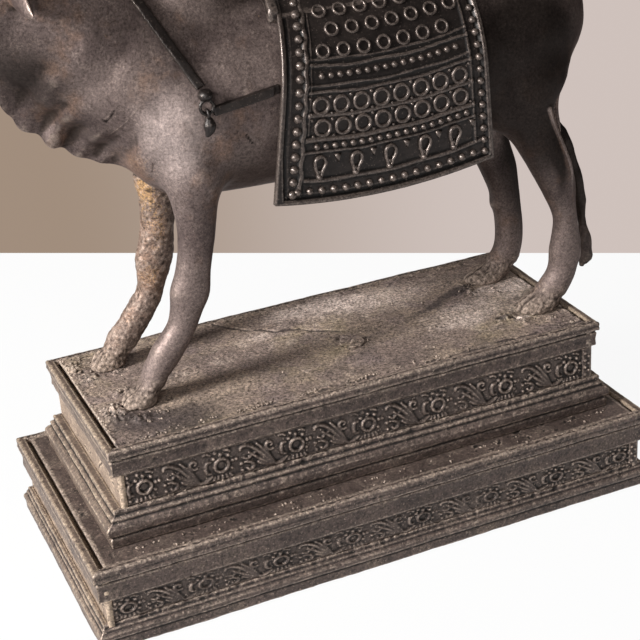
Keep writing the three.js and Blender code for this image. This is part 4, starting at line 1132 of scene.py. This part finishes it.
def bull_finish(name, tones, speckle=0.0, metal=0.66, rough=0.5):
    """Satin grey-brown bronze: worn on its ridges, dusty towards the deck, with traces of gold; painted shade
    on the rump, belly and backs of the legs, and painted light on the shoulder and along a sinew.
    """
    paint = Paint(name)
    relief, broad, gilt, soot = (paint.mark(key) for key in ("relief", "broad", "gilt", "soot"))
    wide = paint.grain(42, 4, 0.6)
    paint.ground(wide.between(0.38, 0.62), *tones)
    paint.coat((paint.grain(30, 4, 0.65, 6.1) + gilt * 0.22).between(0.52, 0.7) * 0.45, (0.19, 0.108, 0.068))
    speck = paint.grain(0.9, 3, 0.75, 3.3)
    blotch = paint.grain(8, 5, 0.72, 1.9)
    dusted = (speck * 0.5 + blotch * 0.5).between(0.5, 0.68)
    paint.coat(dusted * (0.35 + speckle * 0.25), (0.3, 0.24, 0.21))
    dark = paint.grain(1.7, 4, 0.8, 11.3).between(0.5, 0.68)
    paint.coat(dark * (0.5 + speckle * 0.1), (0.028, 0.021, 0.018))
    flakes = paint.grain(3.4, 5, 0.8, 4.4) * 0.45 + paint.grain(0.9, 3, 0.8, 8.1) * 0.55
    paint.coat((flakes + gilt * 0.18).between(0.6, 0.76) * 0.75, (0.43, 0.26, 0.115))
    up = paint.signal("ShaderNodeSeparateXYZ", None, {0: paint.place}, 2) * (1 / MM)
    foot = (up + blotch * 16 + speck * 8).between(deck_high[2] + 32, deck_high[2] + 15)
    ankle = (up + blotch * 24).between(deck_high[2] + 56, deck_high[2] + 26)
    paint.coat(foot * 0.7, (0.125, 0.098, 0.078))
    # Dirt and painted shade: grooves, folds and broad hollows of the skin are darkened
    paint.coat((relief * -1).between(0.1, 0.8) * 0.7, (0.02, 0.015, 0.013))
    paint.coat((broad * -1).between(0.1, 0.9) * 0.6, (0.035, 0.026, 0.022))
    rubbed = relief.between(0.3, 1.0)
    paint.coat(rubbed * 0.3, (0.4, 0.32, 0.27))
    # Painted light, paler, where the darkening mark is below 0, and painted shade, near black, where it is
    # above 0
    paint.coat((soot * -1 + wide * 0.4).between(0.3, 1.1) * 0.6, (0.34, 0.28, 0.265))
    paint.coat((soot + wide * 0.3).between(0.2, 1.15) * 0.92, (0.01, 0.0075, 0.0065))
    paint.grit(1.4, 0.5 + 0.2 * speckle + foot * 0.3)
    sand = paint.grain(1.0, 3, 0.65, 9.2) * 0.5 + paint.grain(3.2, 3, 0.6, 5.2) * 0.5
    metallic = metal - dusted * 0.2 - foot * 0.3 - ankle * 0.2
    roughness = rough + dusted * 0.12 + foot * 0.2 + ankle * 0.12 - rubbed * 0.06
    return paint.show_metal(
        metallic, roughness, sand, 0.14 + 0.2 * speckle, 1.0, {"Specular Tint": EDGE_TINT}
    )


body_bronze = bull_finish("body_bronze", body_tones)


def cad_skin(node):
    """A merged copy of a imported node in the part's millimetres: its points and triangles."""
    piece = frame["nodes"][node]
    turn = np.array(piece.matrix_world)
    points = (read(piece.data.vertices, "co", 3) @ turn[:3, :3].T + turn[:3, 3]) / MM
    corners = read(piece.data.loops, "vertex_index", 1, int)
    merged, index = np.unique(np.round(points, 3), axis=0, return_inverse=True)
    triangles = index.ravel()[corners].reshape(-1, 3)
    return merged, triangles[(triangles != np.roll(triangles, 1, axis=1)).all(axis=1)]


def normals_of(points, faces):
    """The outward direction at every point, from the faces round it."""
    total = np.zeros_like(points)
    if faces.shape[1] == 3:
        cross = np.cross(points[faces[:, 1]] - points[faces[:, 0]], points[faces[:, 2]] - points[faces[:, 0]])
    else:
        cross = np.cross(points[faces[:, 2]] - points[faces[:, 0]], points[faces[:, 3]] - points[faces[:, 1]])
    for k in range(faces.shape[1]):
        for axis in range(3):
            total[:, axis] += np.bincount(faces[:, k], weights=cross[:, axis], minlength=len(points))
    return total / np.maximum(np.linalg.norm(total, axis=1), 1e-9)[:, None]


def soft_casting(
    name, node, finish, slot, voxel, passes, swell=0.0, wave=0.0, wave_size=6.0, fine=0.1, coarse=0.5,
    body="statue",
):
    """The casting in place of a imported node, its facets melted away and its skin a little wavy."""
    points, triangles = cad_skin(node)
    points, faces = fused(points, triangles.tolist(), voxel)
    ends = edges_of(faces)
    for pull in (0.55, -0.5) * passes:
        points = relax(points, *ends, 1, pull)
    lift = swell + wave * rumple(points, wave_size, len(node))
    points = points + normals_of(points, faces) * lift[:, None]
    cast_piece(name, points * MM, faces, finish, [node], slot, fine, coarse, body=body)


soft_casting("core_plug_casting", "deck_core_plug", deck_bronze, "body", 0.4, 6, -0.1, 0.5, 2.6)
for leg in ("near_foreleg", "far_foreleg", "near_hind_leg", "far_hind_leg"):
    soft_casting(leg + "_rove_casting", leg + "_rove", body_bronze, "body", 0.45, 3)

# The bull: body, neck with hump, head, dewlap, legs and tail were cast in lengths and burnt together,
# so one skin runs over them all. It is modelled as one, then parted along the joints of the castings.
BULL_ASIDE = 5.2  # how far the bull stands behind the middle of the deck
SKIN_VOXEL = 1.0
SKIN_GROWN = 0.55
TAIL_AHEAD = 3.2  # the tail lies against the hock
BULL = [
    "body_barrel", "neck_and_hump", "dewlap", "head", "near_horn", "near_ear", "far_horn", "far_ear",
    "near_foreleg", "far_foreleg", "near_hind_leg", "far_hind_leg", "tail",
]
hinge_axis = frame["joints"][0]["axis"]
askew = atan2(hinge_axis[1], hinge_axis[0])
bull_place = np.array([plinth_middle[0], BULL_ASIDE, height_of("deck_plate")])


def from_bull(points):
    """The bull's own axes, with its feet on the deck at z 0, to metres in the part's frame."""
    return (turned(points, askew) + bull_place) * MM


def largest_skin(points, faces):
    """Keeps the outer skin and leaves out shells closed inside it."""
    label = np.arange(len(points))
    starts, ends = edges_of(faces)
    while True:
        low = np.minimum(label[starts], label[ends])
        fresh = label.copy()
        np.minimum.at(fresh, starts, low)
        np.minimum.at(fresh, ends, low)
        fresh = fresh[fresh]
        if (fresh == label).all():
            break
        label = fresh
    values, counts = np.unique(label, return_counts=True)
    keep = label == values[counts.argmax()]
    index = np.cumsum(keep) - 1
    return points[keep], index[faces[keep[faces[:, 0]]]]


plain, grown, owners = [], [], []
for number, node in enumerate(BULL):
    node_points, triangles = cad_skin(node)
    node_points = turned(node_points - bull_place, -askew)
    if node == "tail":
        node_points[:, 0] -= TAIL_AHEAD * unit((195 - node_points[:, 2]) / 30)
    plain.append((node_points, triangles.tolist()))
    grown.append((node_points + normals_of(node_points, triangles) * SKIN_GROWN, triangles.tolist()))
    owners.extend([number] * len(triangles))
plain_points, plain_faces = joined(plain)
plain_tree = BVHTree.FromPolygons(plain_points.tolist(), plain_faces)

skin, skin_faces = largest_skin(*fused(*joined(grown), SKIN_VOXEL))
skin_ends = edges_of(skin_faces)

# Facets and steps of the castings melt: long passes on the barrel, short ones on the thin limbs
along, aside, up = skin.T
thin = np.maximum(unit((116 - up) / 26), unit((up - 214) / 10))
thin = np.maximum(thin, unit((along - 158) / 6) * (np.abs(aside) < 12))
thin = np.maximum(thin, unit((-118 - along) / 16) * 0.75)
hoof = unit((17 - up) / 8)
for passes, free in ((9, np.ones(len(skin))), (33, 1 - 0.85 * hoof), (68, (1 - thin) * (1 - hoof))):
    skin = relax(skin, *skin_ends, passes, 0.5 * free[:, None])
along, aside, up = skin.T
out = normals_of(skin, skin_faces)


def swell_at(middle, radii, height):
    """A soft mound, or a hollow where height is below 0, round a place on the skin."""
    return height * np.exp(-(((skin - middle) / radii) ** 2).sum(axis=1))


def ridge_at(stops, wide, height):
    return height * bell(off_path(skin, stops), wide)


def off_sideways(stops):
    """How far each point of the skin is, seen from the side, from a line of [along, up] stops."""
    return off_path(skin[:, [0, 2]], stops)


lift = waves(skin, (0.5, 34, 1), (0.28, 12, 2), (0.1, 4.6, 3), (0.05, 1.9, 4)) * (1 - 0.6 * thin)

# Muscles, eyes, ears' roots and nostrils, the same on both sides. The tassels hang in slight hollows
TWIN_MARKS = [  # place, radii, height
    ((-78, 40, 128), (20, 14, 22), 2.4), ((-60, 38, 112), (10, 14, 18), -2.0),
    ((130, 38, 150), (24, 18, 26), 2.0), ((-173, 26.5, 230), (5.2, 5, 4.2), 1.6),
    ((-219, 9, 206), (3.4, 3.4, 3), -3.2), ((-67, 44, 147), (9, 12, 15), -1.1),
]
TWIN_RIDGES = [  # a line, its half width and how far it stands out
    ([(-96, 36, 160), (-74, 44, 142), (-66, 40, 118)], 7, 1.4), ([(104, 44, 158), (110, 40, 130)], 7, -1.3),
    ([(-52, 44, 170), (-50, 46, 140), (-54, 40, 112)], 5, -1.1),
    ([(-176, 12, 215), (-186, 15, 205)], 2.0, -0.6),
    ([(-158, 24, 232), (-172, 26, 238), (-186, 22, 228)], 3.2, 1.2),
    ([(-179, 26, 231), (-173, 27, 233.5), (-167, 27, 231)], 1.1, -1.2),
    ([(-179, 26, 230), (-173, 27, 227), (-167, 27, 230)], 1.1, -1.2),
    ([(-222, 8, 192), (-206, 18, 197), (-196, 20, 201)], 1.3, -1.6),
]
for mirror in ((1, -1, 1), (1, 1, 1)):
    for middle, radii, high in TWIN_MARKS:
        lift += swell_at(np.multiply(middle, mirror), radii, high)
    for stops, wide, high in TWIN_RIDGES:
        lift += ridge_at(np.multiply(stops, mirror), wide, high)

# Knees, fetlocks and hooves of the four legs, and the slack skin behind the elbows
MARKS = [
    ((-92, -30, 62), (6, 12, 7), 1.6), ((-72, -30, 58), (6, 12, 8), 1.3), ((-96, -28, 43), (6, 12, 9), -1.1),
    ((-104, -27, 30), (6, 10, 6), 0.9), ((-121, -27, 14), (8, 14, 7), -4.6),
    ((-99, -26, 13), (5, 10, 7), -1.0), ((-97, 28, 62), (5, 12, 8), 1.9), ((-76, 28, 64), (5, 12, 8), 0.9),
    ((-99, 28, 44), (6, 12, 8), -1.9), ((-79, 28, 44), (5, 12, 8), -0.9), ((-119, 27, 22), (6, 12, 6), 1.9),
    ((-124, 27, 14), (5, 12, 4), -1.9), ((-97, 27, 104), (6, 10, 12), 2.4),
    ((-99, 4, 117), (13, 14, 10), -7.0), ((139, -28, 57), (5, 12, 10), -1.3),
    ((138, -28, 35), (6, 12, 8), 1.3), ((157, -28, 33), (5, 10, 7), 1.5), ((131, -28, 16), (7, 9, 6), 1.2),
    ((158, -30, 82), (5, 8, 8), 1.2), ((108, -35, 106), (13, 15, 14), -7.0),
    ((108, 35, 106), (13, 15, 14), -5.0), ((150, 30, 62), (9, 12, 28), 3.4), ((131, 30, 47), (3, 10, 5), 1.6),
    ((141, 30, 18), (5, 9, 6), 1.3), ((-38, -45, 126), (1.8, 3, 1.8), 1.5),
]
for mark in MARKS:
    lift += swell_at(*mark)
lift += ridge_at([(150, -36, 150), (156, -34, 110), (159, -31, 84), (157, -30, 60), (157, -29, 40)], 2.4, 1.2)
lift += ridge_at([(146, -41, 150), (151, -39, 110), (153, -36, 84)], 2.4, -1.3)
lift += ridge_at([(150, 38, 140), (155, 37, 100), (157, 33, 80)], 2.6, 1.0)

# Folds hang down the dewlap; chisel scratches and a short crack mark the shoulder and the chest
FOLDS = [  # a line of [along, up] stops, its half width and how far it stands out
    ([(-159, 163), (-152, 176), (-143, 192)], 4.5, -1.2), ([(-152, 157), (-146, 169), (-138, 184)], 4.5, 1.2),
    ([(-146, 152), (-140, 160), (-134, 170)], 3.8, -1.4),
    ([(-139, 147), (-136.5, 154), (-133, 162)], 4.2, 1.6),
    ([(-133, 143.5), (-129, 149), (-126, 156)], 3.6, -1.5),
    ([(-125, 139), (-122, 145), (-119, 152)], 4.2, 1.5), ([(-117, 137), (-114, 143), (-110, 150)], 3.8, -1.3),
    ([(-109, 133), (-105, 143), (-99, 153)], 4.2, -1.5), ([(-128, 175), (-116, 183), (-100, 200)], 6.0, -0.8),
    ([(-137, 186), (-124, 196), (-112, 214)], 6.0, 0.8),
]
for stops, wide, high in FOLDS:
    lift += high * bell(off_sideways(stops), wide) * unit((-92 - along) / 10)
near_side = unit(-aside / 6)
NICKS = [  # chisel nicks on the neck and the chest: a line of [along, up] stops and its half width
    ([(-110.9, 167.2), (-112.4, 164.2), (-114.6, 161.0)], 0.6), ([(-116.4, 162.3), (-115.0, 161.4)], 0.5),
    ([(-94.9, 137.0), (-94.6, 134), (-94.9, 131.2)], 0.4), ([(-46.6, 146), (-43.0, 140)], 0.4),
]
for stops, wide in NICKS:
    lift -= 0.22 * bell(off_sideways(stops), wide) * near_side
lift += 0.16 * bell(off_sideways([(-98.5, 169), (-105, 161.5), (-112.5, 153.5)]), 0.6) * near_side

# A sinew stands out along the back of the near hind leg
SINEW = [
    (130.3, 127.7), (134.1, 119), (137.9, 111.4), (143, 98.7), (146.4, 87.2), (146.6, 75.2), (147.2, 62.9)
]
on_hind = ((aside < -18) & (along > 100)) * unit((up - 68) / 34)
lift += bell(off_sideways(SINEW), 1.9) * on_hind

# The far foreleg's casting was let into the chest: a dark seam runs round its top. It is rougher
seam = bell(up - 111.5 - 0.12 * (along + 84), 1.2)
lift -= 1.1 * seam * unit((aside - 8) / 6) * unit((-68 - along) / 6)
rough_leg = unit((aside - 12) / 6) * unit((-50 - along) / 8) * unit((112 - up) / 4)
lift += rough_leg * waves(skin, (0.32, 3.4, 41), (0.28, 1.9, 42))

# Hair of the tail's tuft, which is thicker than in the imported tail
lift += unit((200 - up) / 120) * (along > 160) * rumple(skin * (1, 1, 0.6), 4.4, 43)
lift += 1.5 * unit((along - 160) / 3) * unit((150 - up) / 20) * np.clip((up - 34) / 12, 0.1, 1)

# Hooves: rough from the braze, each with a cleft in front between its two claws and a line above them
for x, y in ((-118, -27), (-121, 26.5), (129, -28), (124, 29)):
    close = unit(1.4 - np.hypot(along - x, aside - y) / 22) * (up < 24)
    lift -= close * unit((x + 2 - along) / 5) * bell(aside - y, 1.5) * unit((15 - up) / 5)
    lift -= 0.3 * close * bell(up - 10.5 - 0.25 * (x - along), 1.4)
lift += hoof * waves(skin, (0.6, 4.6, 51), (0.4, 1.8, 52))
skin = skin + out * (lift - 0.25)[:, None]
along, aside, up = skin.T

# Gold is left on the far foreleg and the chest. Painted shade darkens the rump, the belly, the neck and the
# backs of the legs; where its mark is below 0, on the near shoulder and the far thigh, light is painted
# instead
GILDED = [  # place, radii, share
    ((-89, 26, 103), (8, 12, 9), 1.0), ((-83, 26, 84), (9, 14, 20), 0.75), ((-90, 28, 52), (7, 12, 9), 0.95),
    ((-95, -20, 137), (9, 12, 10), 0.7), ((-106, 27, 30), (7, 14, 9), 0.3), ((-119, 27, 12), (8, 14, 7), 0.4),
    ((131, -30, 16), (7, 9, 7), 0.3),
]
PAINTED_SHADE_AND_LIGHT = [
    ((116, -42, 156), (38, 26, 42), 1.8), ((116, 42, 156), (38, 26, 42), 1.4),
    ((128, -36, 108), (14, 18, 22), 0.5), ((-50, -48, 132), (14, 18, 28), 0.6),
    ((-28, -40, 112), (30, 26, 16), 0.8), ((-152, -16, 188), (24, 24, 26), 0.9),
    ((-122, -16, 156), (18, 18, 16), 0.45), ((128, 32, 106), (24, 18, 32), 1.5),
    ((134, 30, 66), (18, 16, 34), 0.5), ((127, 30, 98), (9, 16, 15), -2.2),
    ((148, 30, 56), (10, 14, 40), 0.8), ((-66, 26, 70), (9, 16, 44), 0.9), ((-66, -34, 60), (7, 16, 46), 0.5),
    ((160, -30, 50), (6, 12, 60), 0.4), ((134, -34, 74), (15, 16, 50), 0.3),
    ((-104, -27, 8), (8, 14, 8), 0.4), ((-86, -48, 152), (22, 22, 26), -1.1),
    ((-104, 27, 22), (10, 14, 14), 0.4),
]
gilding = sum(swell_at(*mark) for mark in GILDED)
sooted = sum(swell_at(*mark) for mark in PAINTED_SHADE_AND_LIGHT)
# The chisel nicks are darkened too
for stops, wide in NICKS:
    uneven = np.clip(0.75 + 0.9 * rumple(skin, 2.4, 46), 0.1, 1)
    sooted += bell(off_sideways(stops), wide) * near_side * uneven
# Painted light along the sinew, and painted shade in a line just ahead of it
sooted -= 1.9 * bell(off_sideways(SINEW), 1.7) * on_hind
sooted += bell(off_sideways([(x - 7, z) for x, z in SINEW]), 3.2) * on_hind
# The tail and its tuft are darkened
sooted = np.where((along > 160) & (np.abs(aside) < 14), np.clip((up - 26) / 14, 0.6, 1.1), sooted)

# Every face of the skin goes to the casting that lies nearest
skin_owner = np.array([owners[plain_tree.find_nearest(Vector(point))[2]] for point in skin])
votes = relax(np.eye(len(BULL))[skin_owner], *skin_ends, 5)
face_owner = votes[skin_faces].mean(axis=1).argmax(axis=1)
face_owner[face_owner == BULL.index("dewlap")] = BULL.index("neck_and_hump")  # one visible piece
skin_out = normals_of(skin, skin_faces)
skin_marks = {}
for mark, rounds, depth, shift in (("relief", 3, 0.09, 0), ("broad", 24, 0.5, 0.06)):
    proud = np.einsum("ij,ij->i", skin - relax(skin, *skin_ends, rounds), skin_out) / depth
    skin_marks[mark] = np.clip(proud + shift, -1, 1)
skin_marks.update(gilt=gilding, soot=sooted)


def part_of_skin(name, number, nodes, finish):
    """One casting: its share of the skin, closed across each joint, shaded as part of the whole."""
    mine = skin_faces[face_owner == number]
    used = np.unique(mine)
    mesh = bpy.data.meshes.new(name)
    mesh.from_pydata(from_bull(skin[used]).tolist(), [], np.searchsorted(used, mine).tolist())
    for mark, values in skin_marks.items():
        store(mesh, mark, values[used])
    work = bmesh.new()
    work.from_mesh(mesh)
    open_edges = [edge for edge in work.edges if edge.is_boundary]
    caps = bmesh.ops.holes_fill(work, edges=open_edges, sides=0)["faces"]
    bmesh.ops.poke(work, faces=caps)
    work.to_mesh(mesh)
    work.free()
    mesh.polygons.foreach_set("use_smooth", [True] * len(mesh.polygons))
    mesh.materials.append(finish)
    normals = read(mesh.vertices, "normal", 3)
    normals[: len(used)] = turned(skin_out[used], askew)
    mesh.normals_split_custom_set_from_vertices(normals.tolist())
    made = new_thing(name, mesh)
    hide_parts(*nodes)
    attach(made, "statue")


gilt_tones = ((0.125, 0.092, 0.078), (0.2, 0.148, 0.122))
gilt_bronze = bull_finish("gilt_bronze", gilt_tones, speckle=0.8, metal=0.5, rough=0.58)
for number, node in enumerate(BULL):
    if node != "dewlap":
        nodes = [node, "dewlap"] if node == "neck_and_hump" else [node]
        finish, slot = (gilt_bronze, "gilt") if node == "far_foreleg" else (body_bronze, "body")
        part_of_skin(node + "_casting", number, nodes, finish)

# Saddle cloth: two bronze panels, cast after a beaded cloth and lapped over the bull's back, rimmed
# with a flat flange. Beads, rings and hanging loops were modelled on the wax in rows along the hem.
CLOTH_STEP = 0.72
CLOTH_THICK = 2.4
CLOTH_RIM = 1.4
HEM_LOW = (20.0, 102.9)  # [along, up] of the hem's lowest place above the deck
HEM_BEND = 0.00143
FRONT_EDGE = ((-37.0, 107.0), (-10.5, 254.0))  # [along, up] at the hem and high above
BACK_EDGE = ((91.0, 108.0), (86.0, 254.0))

face_line = [(46.3 + CLOTH_THICK, 95.0), (45.5 + CLOTH_THICK, 132.0)]  # [out from the bull's middle, up]
for lean in np.radians(range(90, 24, -3)):
    face_line.append(((44.7 + CLOTH_THICK) * sin(lean), 157 + (54.1 + CLOTH_THICK) * cos(lean)))
face_line = np.array(face_line)
face_run = np.concatenate([[0], np.cumsum(np.hypot(*np.diff(face_line, axis=0).T))])
CLOTH_TOP = float(face_run[-1] - 13.5)  # length of the panel's section from its hem to under the seat


def cloth_at(x, run, step):
    """Places on a panel's face at lengths along its section, and the directions it faces there."""
    (y, z), (next_y, next_z) = (
        [np.interp(at, face_run, line) for line in face_line.T] for at in (run, run + step)
    )
    face = np.stack([np.zeros_like(y), next_z - z, y - next_y], axis=-1)
    face /= np.maximum(np.linalg.norm(face, axis=-1), 1e-6)[..., None]
    return np.stack([x, y, z], axis=-1), face


def edge_x(edge, height):
    (x0, z0), (x1, z1) = edge
    return x0 + (x1 - x0) * (height - z0) / (z1 - z0)


def hem_height(x):
    return HEM_LOW[1] + HEM_BEND * (x - HEM_LOW[0]) ** 2


def hem_run(x):
    """The length along the panel's section at which the hem hangs."""
    return np.interp(hem_height(x), face_line[:4, 1], face_run[:4])


cloth_bronze = bronze(
    "cloth_bronze", tones=((0.01, 0.0072, 0.0066), (0.019, 0.014, 0.0124)),
    dust=(0.06, 0.047, 0.04), dust_share=0.22, worn=(0.135, 0.107, 0.094), hollow_dirt_and_shade=(0.003, 0.0022, 0.002),
    metal=0.5, rough=0.42, grain_depth=0.1, grit=0.4,
)
FILLETS = [  # height above the hem, half width and how far it stands out
    (12.2, 1.2, 0.8), (27.4, 0.8, 0.6), (34.0, 1.5, 1.15), (46.6, 1.3, 0.9), (58.6, 0.9, 0.7),
    (62.2, 0.7, 0.5), (72.0, 0.9, 0.8), (75.5, 0.7, 0.6),
]


def panel_relief(x, above, front_gap, back_gap):
    """How far the panel's face stands proud at each place: rim, grooves, fillets and wavy strips."""
    edge = np.minimum(np.minimum(front_gap - 2.4 * unit(1 - above / 26), back_gap), above)
    relief = CLOTH_RIM / (1 + np.exp((edge - 2.5) / 0.125)) - 0.45 * bell(edge - 3.9, 0.9)
    relief += 1.1 * bell(front_gap - 13.5 - 0.45 * np.sin(above / 1.9), 1.35, 4) * (above > 4.5)
    relief += 0.5 * bell(front_gap - 16.3, 0.5) * (above > 36)
    relief += 0.7 * bell(back_gap - 10.0, 0.8) * (above > 12)
    inside = (front_gap > 15.0) & (back_gap > (9.0 - 4 * (above < 14)))
    for height, wide, proud in FILLETS:
        relief += inside * proud * bell(above - height - 0.3 * np.sin(x / 5.7 + height), wide, 4)
    return relief


# A loop is two strands that cross above a small drop, its tail pointing down the cloth
loop_path = [
    (-1.9, -7.8), (-2.2, -5.0), (-3.0, -1.6), (-2.5, 1.9), (0.2, 3.3), (2.6, 1.9), (2.7, -1.2), (0.8, -4.4),
    (-0.5, -7.8),
]
loop_bar = tube(bent(loop_path, 34, 0.4), [1.7, 1.9, 2.0, 1.9, 2.0, 1.8])
loop = joined([loop_bar, ball((-1.2, -7.6, 0.1), 1.9, 0.9), ball((-1.0, -4.8, 0.0), 1.4, 0.9)])
drop_points = [(-2.2, 2.4, 0), (2.2, 2.4, 0), (0, -2.6, 0), (-1.2, 1.5, 1.2), (1.2, 1.5, 1.2), (0, -1.3, 1.2)]
drop = (np.array(drop_points), [[0, 2, 1], [3, 4, 5], [0, 1, 4, 3], [1, 2, 5, 4], [2, 0, 3, 5]])
bead = ball((0, 0, 0.2), 1.0, 0.9, 6, 9)
eyelet = hoop((0, 0, 0.25), 4.05, 2.0, 24, 8, 1.15)
EYELET_PITCH = 11.35


def ornament_rows(side):
    """Every bead, ring, loop and drop of one panel, following its hem."""
    parts = []

    def set_row(shape, along_hem, above_hem, size=1.0, uneven=0.07):
        x, above = np.broadcast_arrays(np.asarray(along_hem, float), np.asarray(above_hem, float))
        place, face = (values * (1, side, 1) for values in cloth_at(x, hem_run(x) + above, 0.5))
        parts.append(strewn(shape, place, face, (-side, 0, 0), size, uneven))

    def edge_at(edge, above):
        return edge_x(edge, 107 + 0.9 * above)

    up_front, up_back = np.arange(5.4, CLOTH_TOP, 6.8), np.arange(5.2, CLOTH_TOP, 6.6)
    set_row(bead, edge_at(FRONT_EDGE, up_front) + 9.3, up_front, 2.4)
    set_row(bead, edge_at(BACK_EDGE, up_back) - 4.9, up_back, 2.0)
    set_row(bead, np.arange(-23.8, 84, 6.85), 6.6, 2.1)
    set_row(loop, [-9.8, 10.9, 30.5, 50.7, 68.6], 21.7, (1, 1, 1.25), 0.03)
    set_row(drop, [0.4, 20.7, 40.1, 58.8, 79.0], 23.4)
    set_row(bead, np.arange(-11, 79, 5.1), 30.4, 1.75)
    for height, first in ((40.4, -6.9), (52.2, -7.0)):
        set_row(eyelet, np.arange(first, 76, EYELET_PITCH), height, 1.0, 0.03)
        for shift in (4.3, -4.3):
            set_row(bead, np.arange(first - 5.7, 80, EYELET_PITCH), height + shift, 0.95)
    set_row(bead, np.arange(-5, 76, 5.1), 67.5, 1.7)
    for height, shift in ((80, 0), (91, 5.6), (101.5, 0)):
        row = np.arange(edge_at(FRONT_EDGE, height) + 22 + shift, edge_at(BACK_EDGE, height) - 13, 11.3)
        set_row(eyelet, row, height, 0.8, 0.03)
    return parts


def cloth_panel(name, side):
    """One panel: its face and back are grids in step, closed round the edge, with its ornaments."""
    step = CLOTH_STEP * (1 if side < 0 else 1.3)
    front_foot, back_foot = FRONT_EDGE[0][0], BACK_EDGE[0][0]
    lines = [lines_between(0, 1, step / long) for long in (back_foot - front_foot, CLOTH_TOP)]
    share, rise = np.meshgrid(*lines, indexing="ij")
    hem_x = front_foot + (back_foot - front_foot) * share
    height = hem_height(hem_x) + rise * CLOTH_TOP * 0.9
    front_x, back_x = edge_x(FRONT_EDGE, height), edge_x(BACK_EDGE, height)
    x = front_x + (back_x - front_x) * share
    above = rise * (face_run[-1] - hem_run(hem_x))
    place, face = (values.reshape(-1, 3) for values in cloth_at(x, hem_run(hem_x) + above, 0.4))
    relief = panel_relief(x, above, x - front_x, back_x - x).ravel()
    relief += waves(place, (0.1, 9, 31), (0.07, 2.6, 32), (0.04, 1.3, 33))
    outside = place + face * (relief - 0.1)[:, None]
    inside = place - face * (CLOTH_THICK - 0.3)
    squares, border = grid_faces(*share.shape)
    count = len(place)
    sides = np.stack([border, border + count, np.roll(border, -1) + count, np.roll(border, -1)], axis=1)
    faces = [*squares.tolist(), *(squares[:, ::-1] + count).tolist(), *sides.tolist()]
    sheet = (np.concatenate([outside, inside]) * (1, side, 1), faces)
    points, faces = joined([sheet, *ornament_rows(side)])
    cast_piece(
        name + "_casting", from_bull(points), faces, cloth_bronze, [name], "cloth", 0.1, 0.5, sheet=True
    )


cloth_panel("saddle_cloth_near", -1)
cloth_panel("saddle_cloth_far", 1)
soft_casting("seat_casting", "saddle_seat", cloth_bronze, "cloth", 1.0, 10, -0.1, 0.3, 9.0)

# Harness: a cast collar of twisted cord round the neck and two flat breast straps from it to the
# cloth, each ending in a knot with a ring, from which a bud-shaped tassel hangs and swings.
for node, voxel, passes in (
    ("neck_collar", 0.7, 8), ("near_breast_strap", 0.45, 6), ("far_breast_strap", 0.45, 6)
):
    soft_casting(
        node + "_casting", node, cloth_bronze, "cloth", voxel, passes, 0.05, 0.12, 4.0, fine=0.3, coarse=1.5
    )
for node in ("near_tassel", "far_tassel"):
    soft_casting(
        node + "_casting", node, cloth_bronze, "cloth", 0.22, 4, 0.3, 0.12, 2.0, fine=0.25, coarse=1.2,
        body=node,
    )
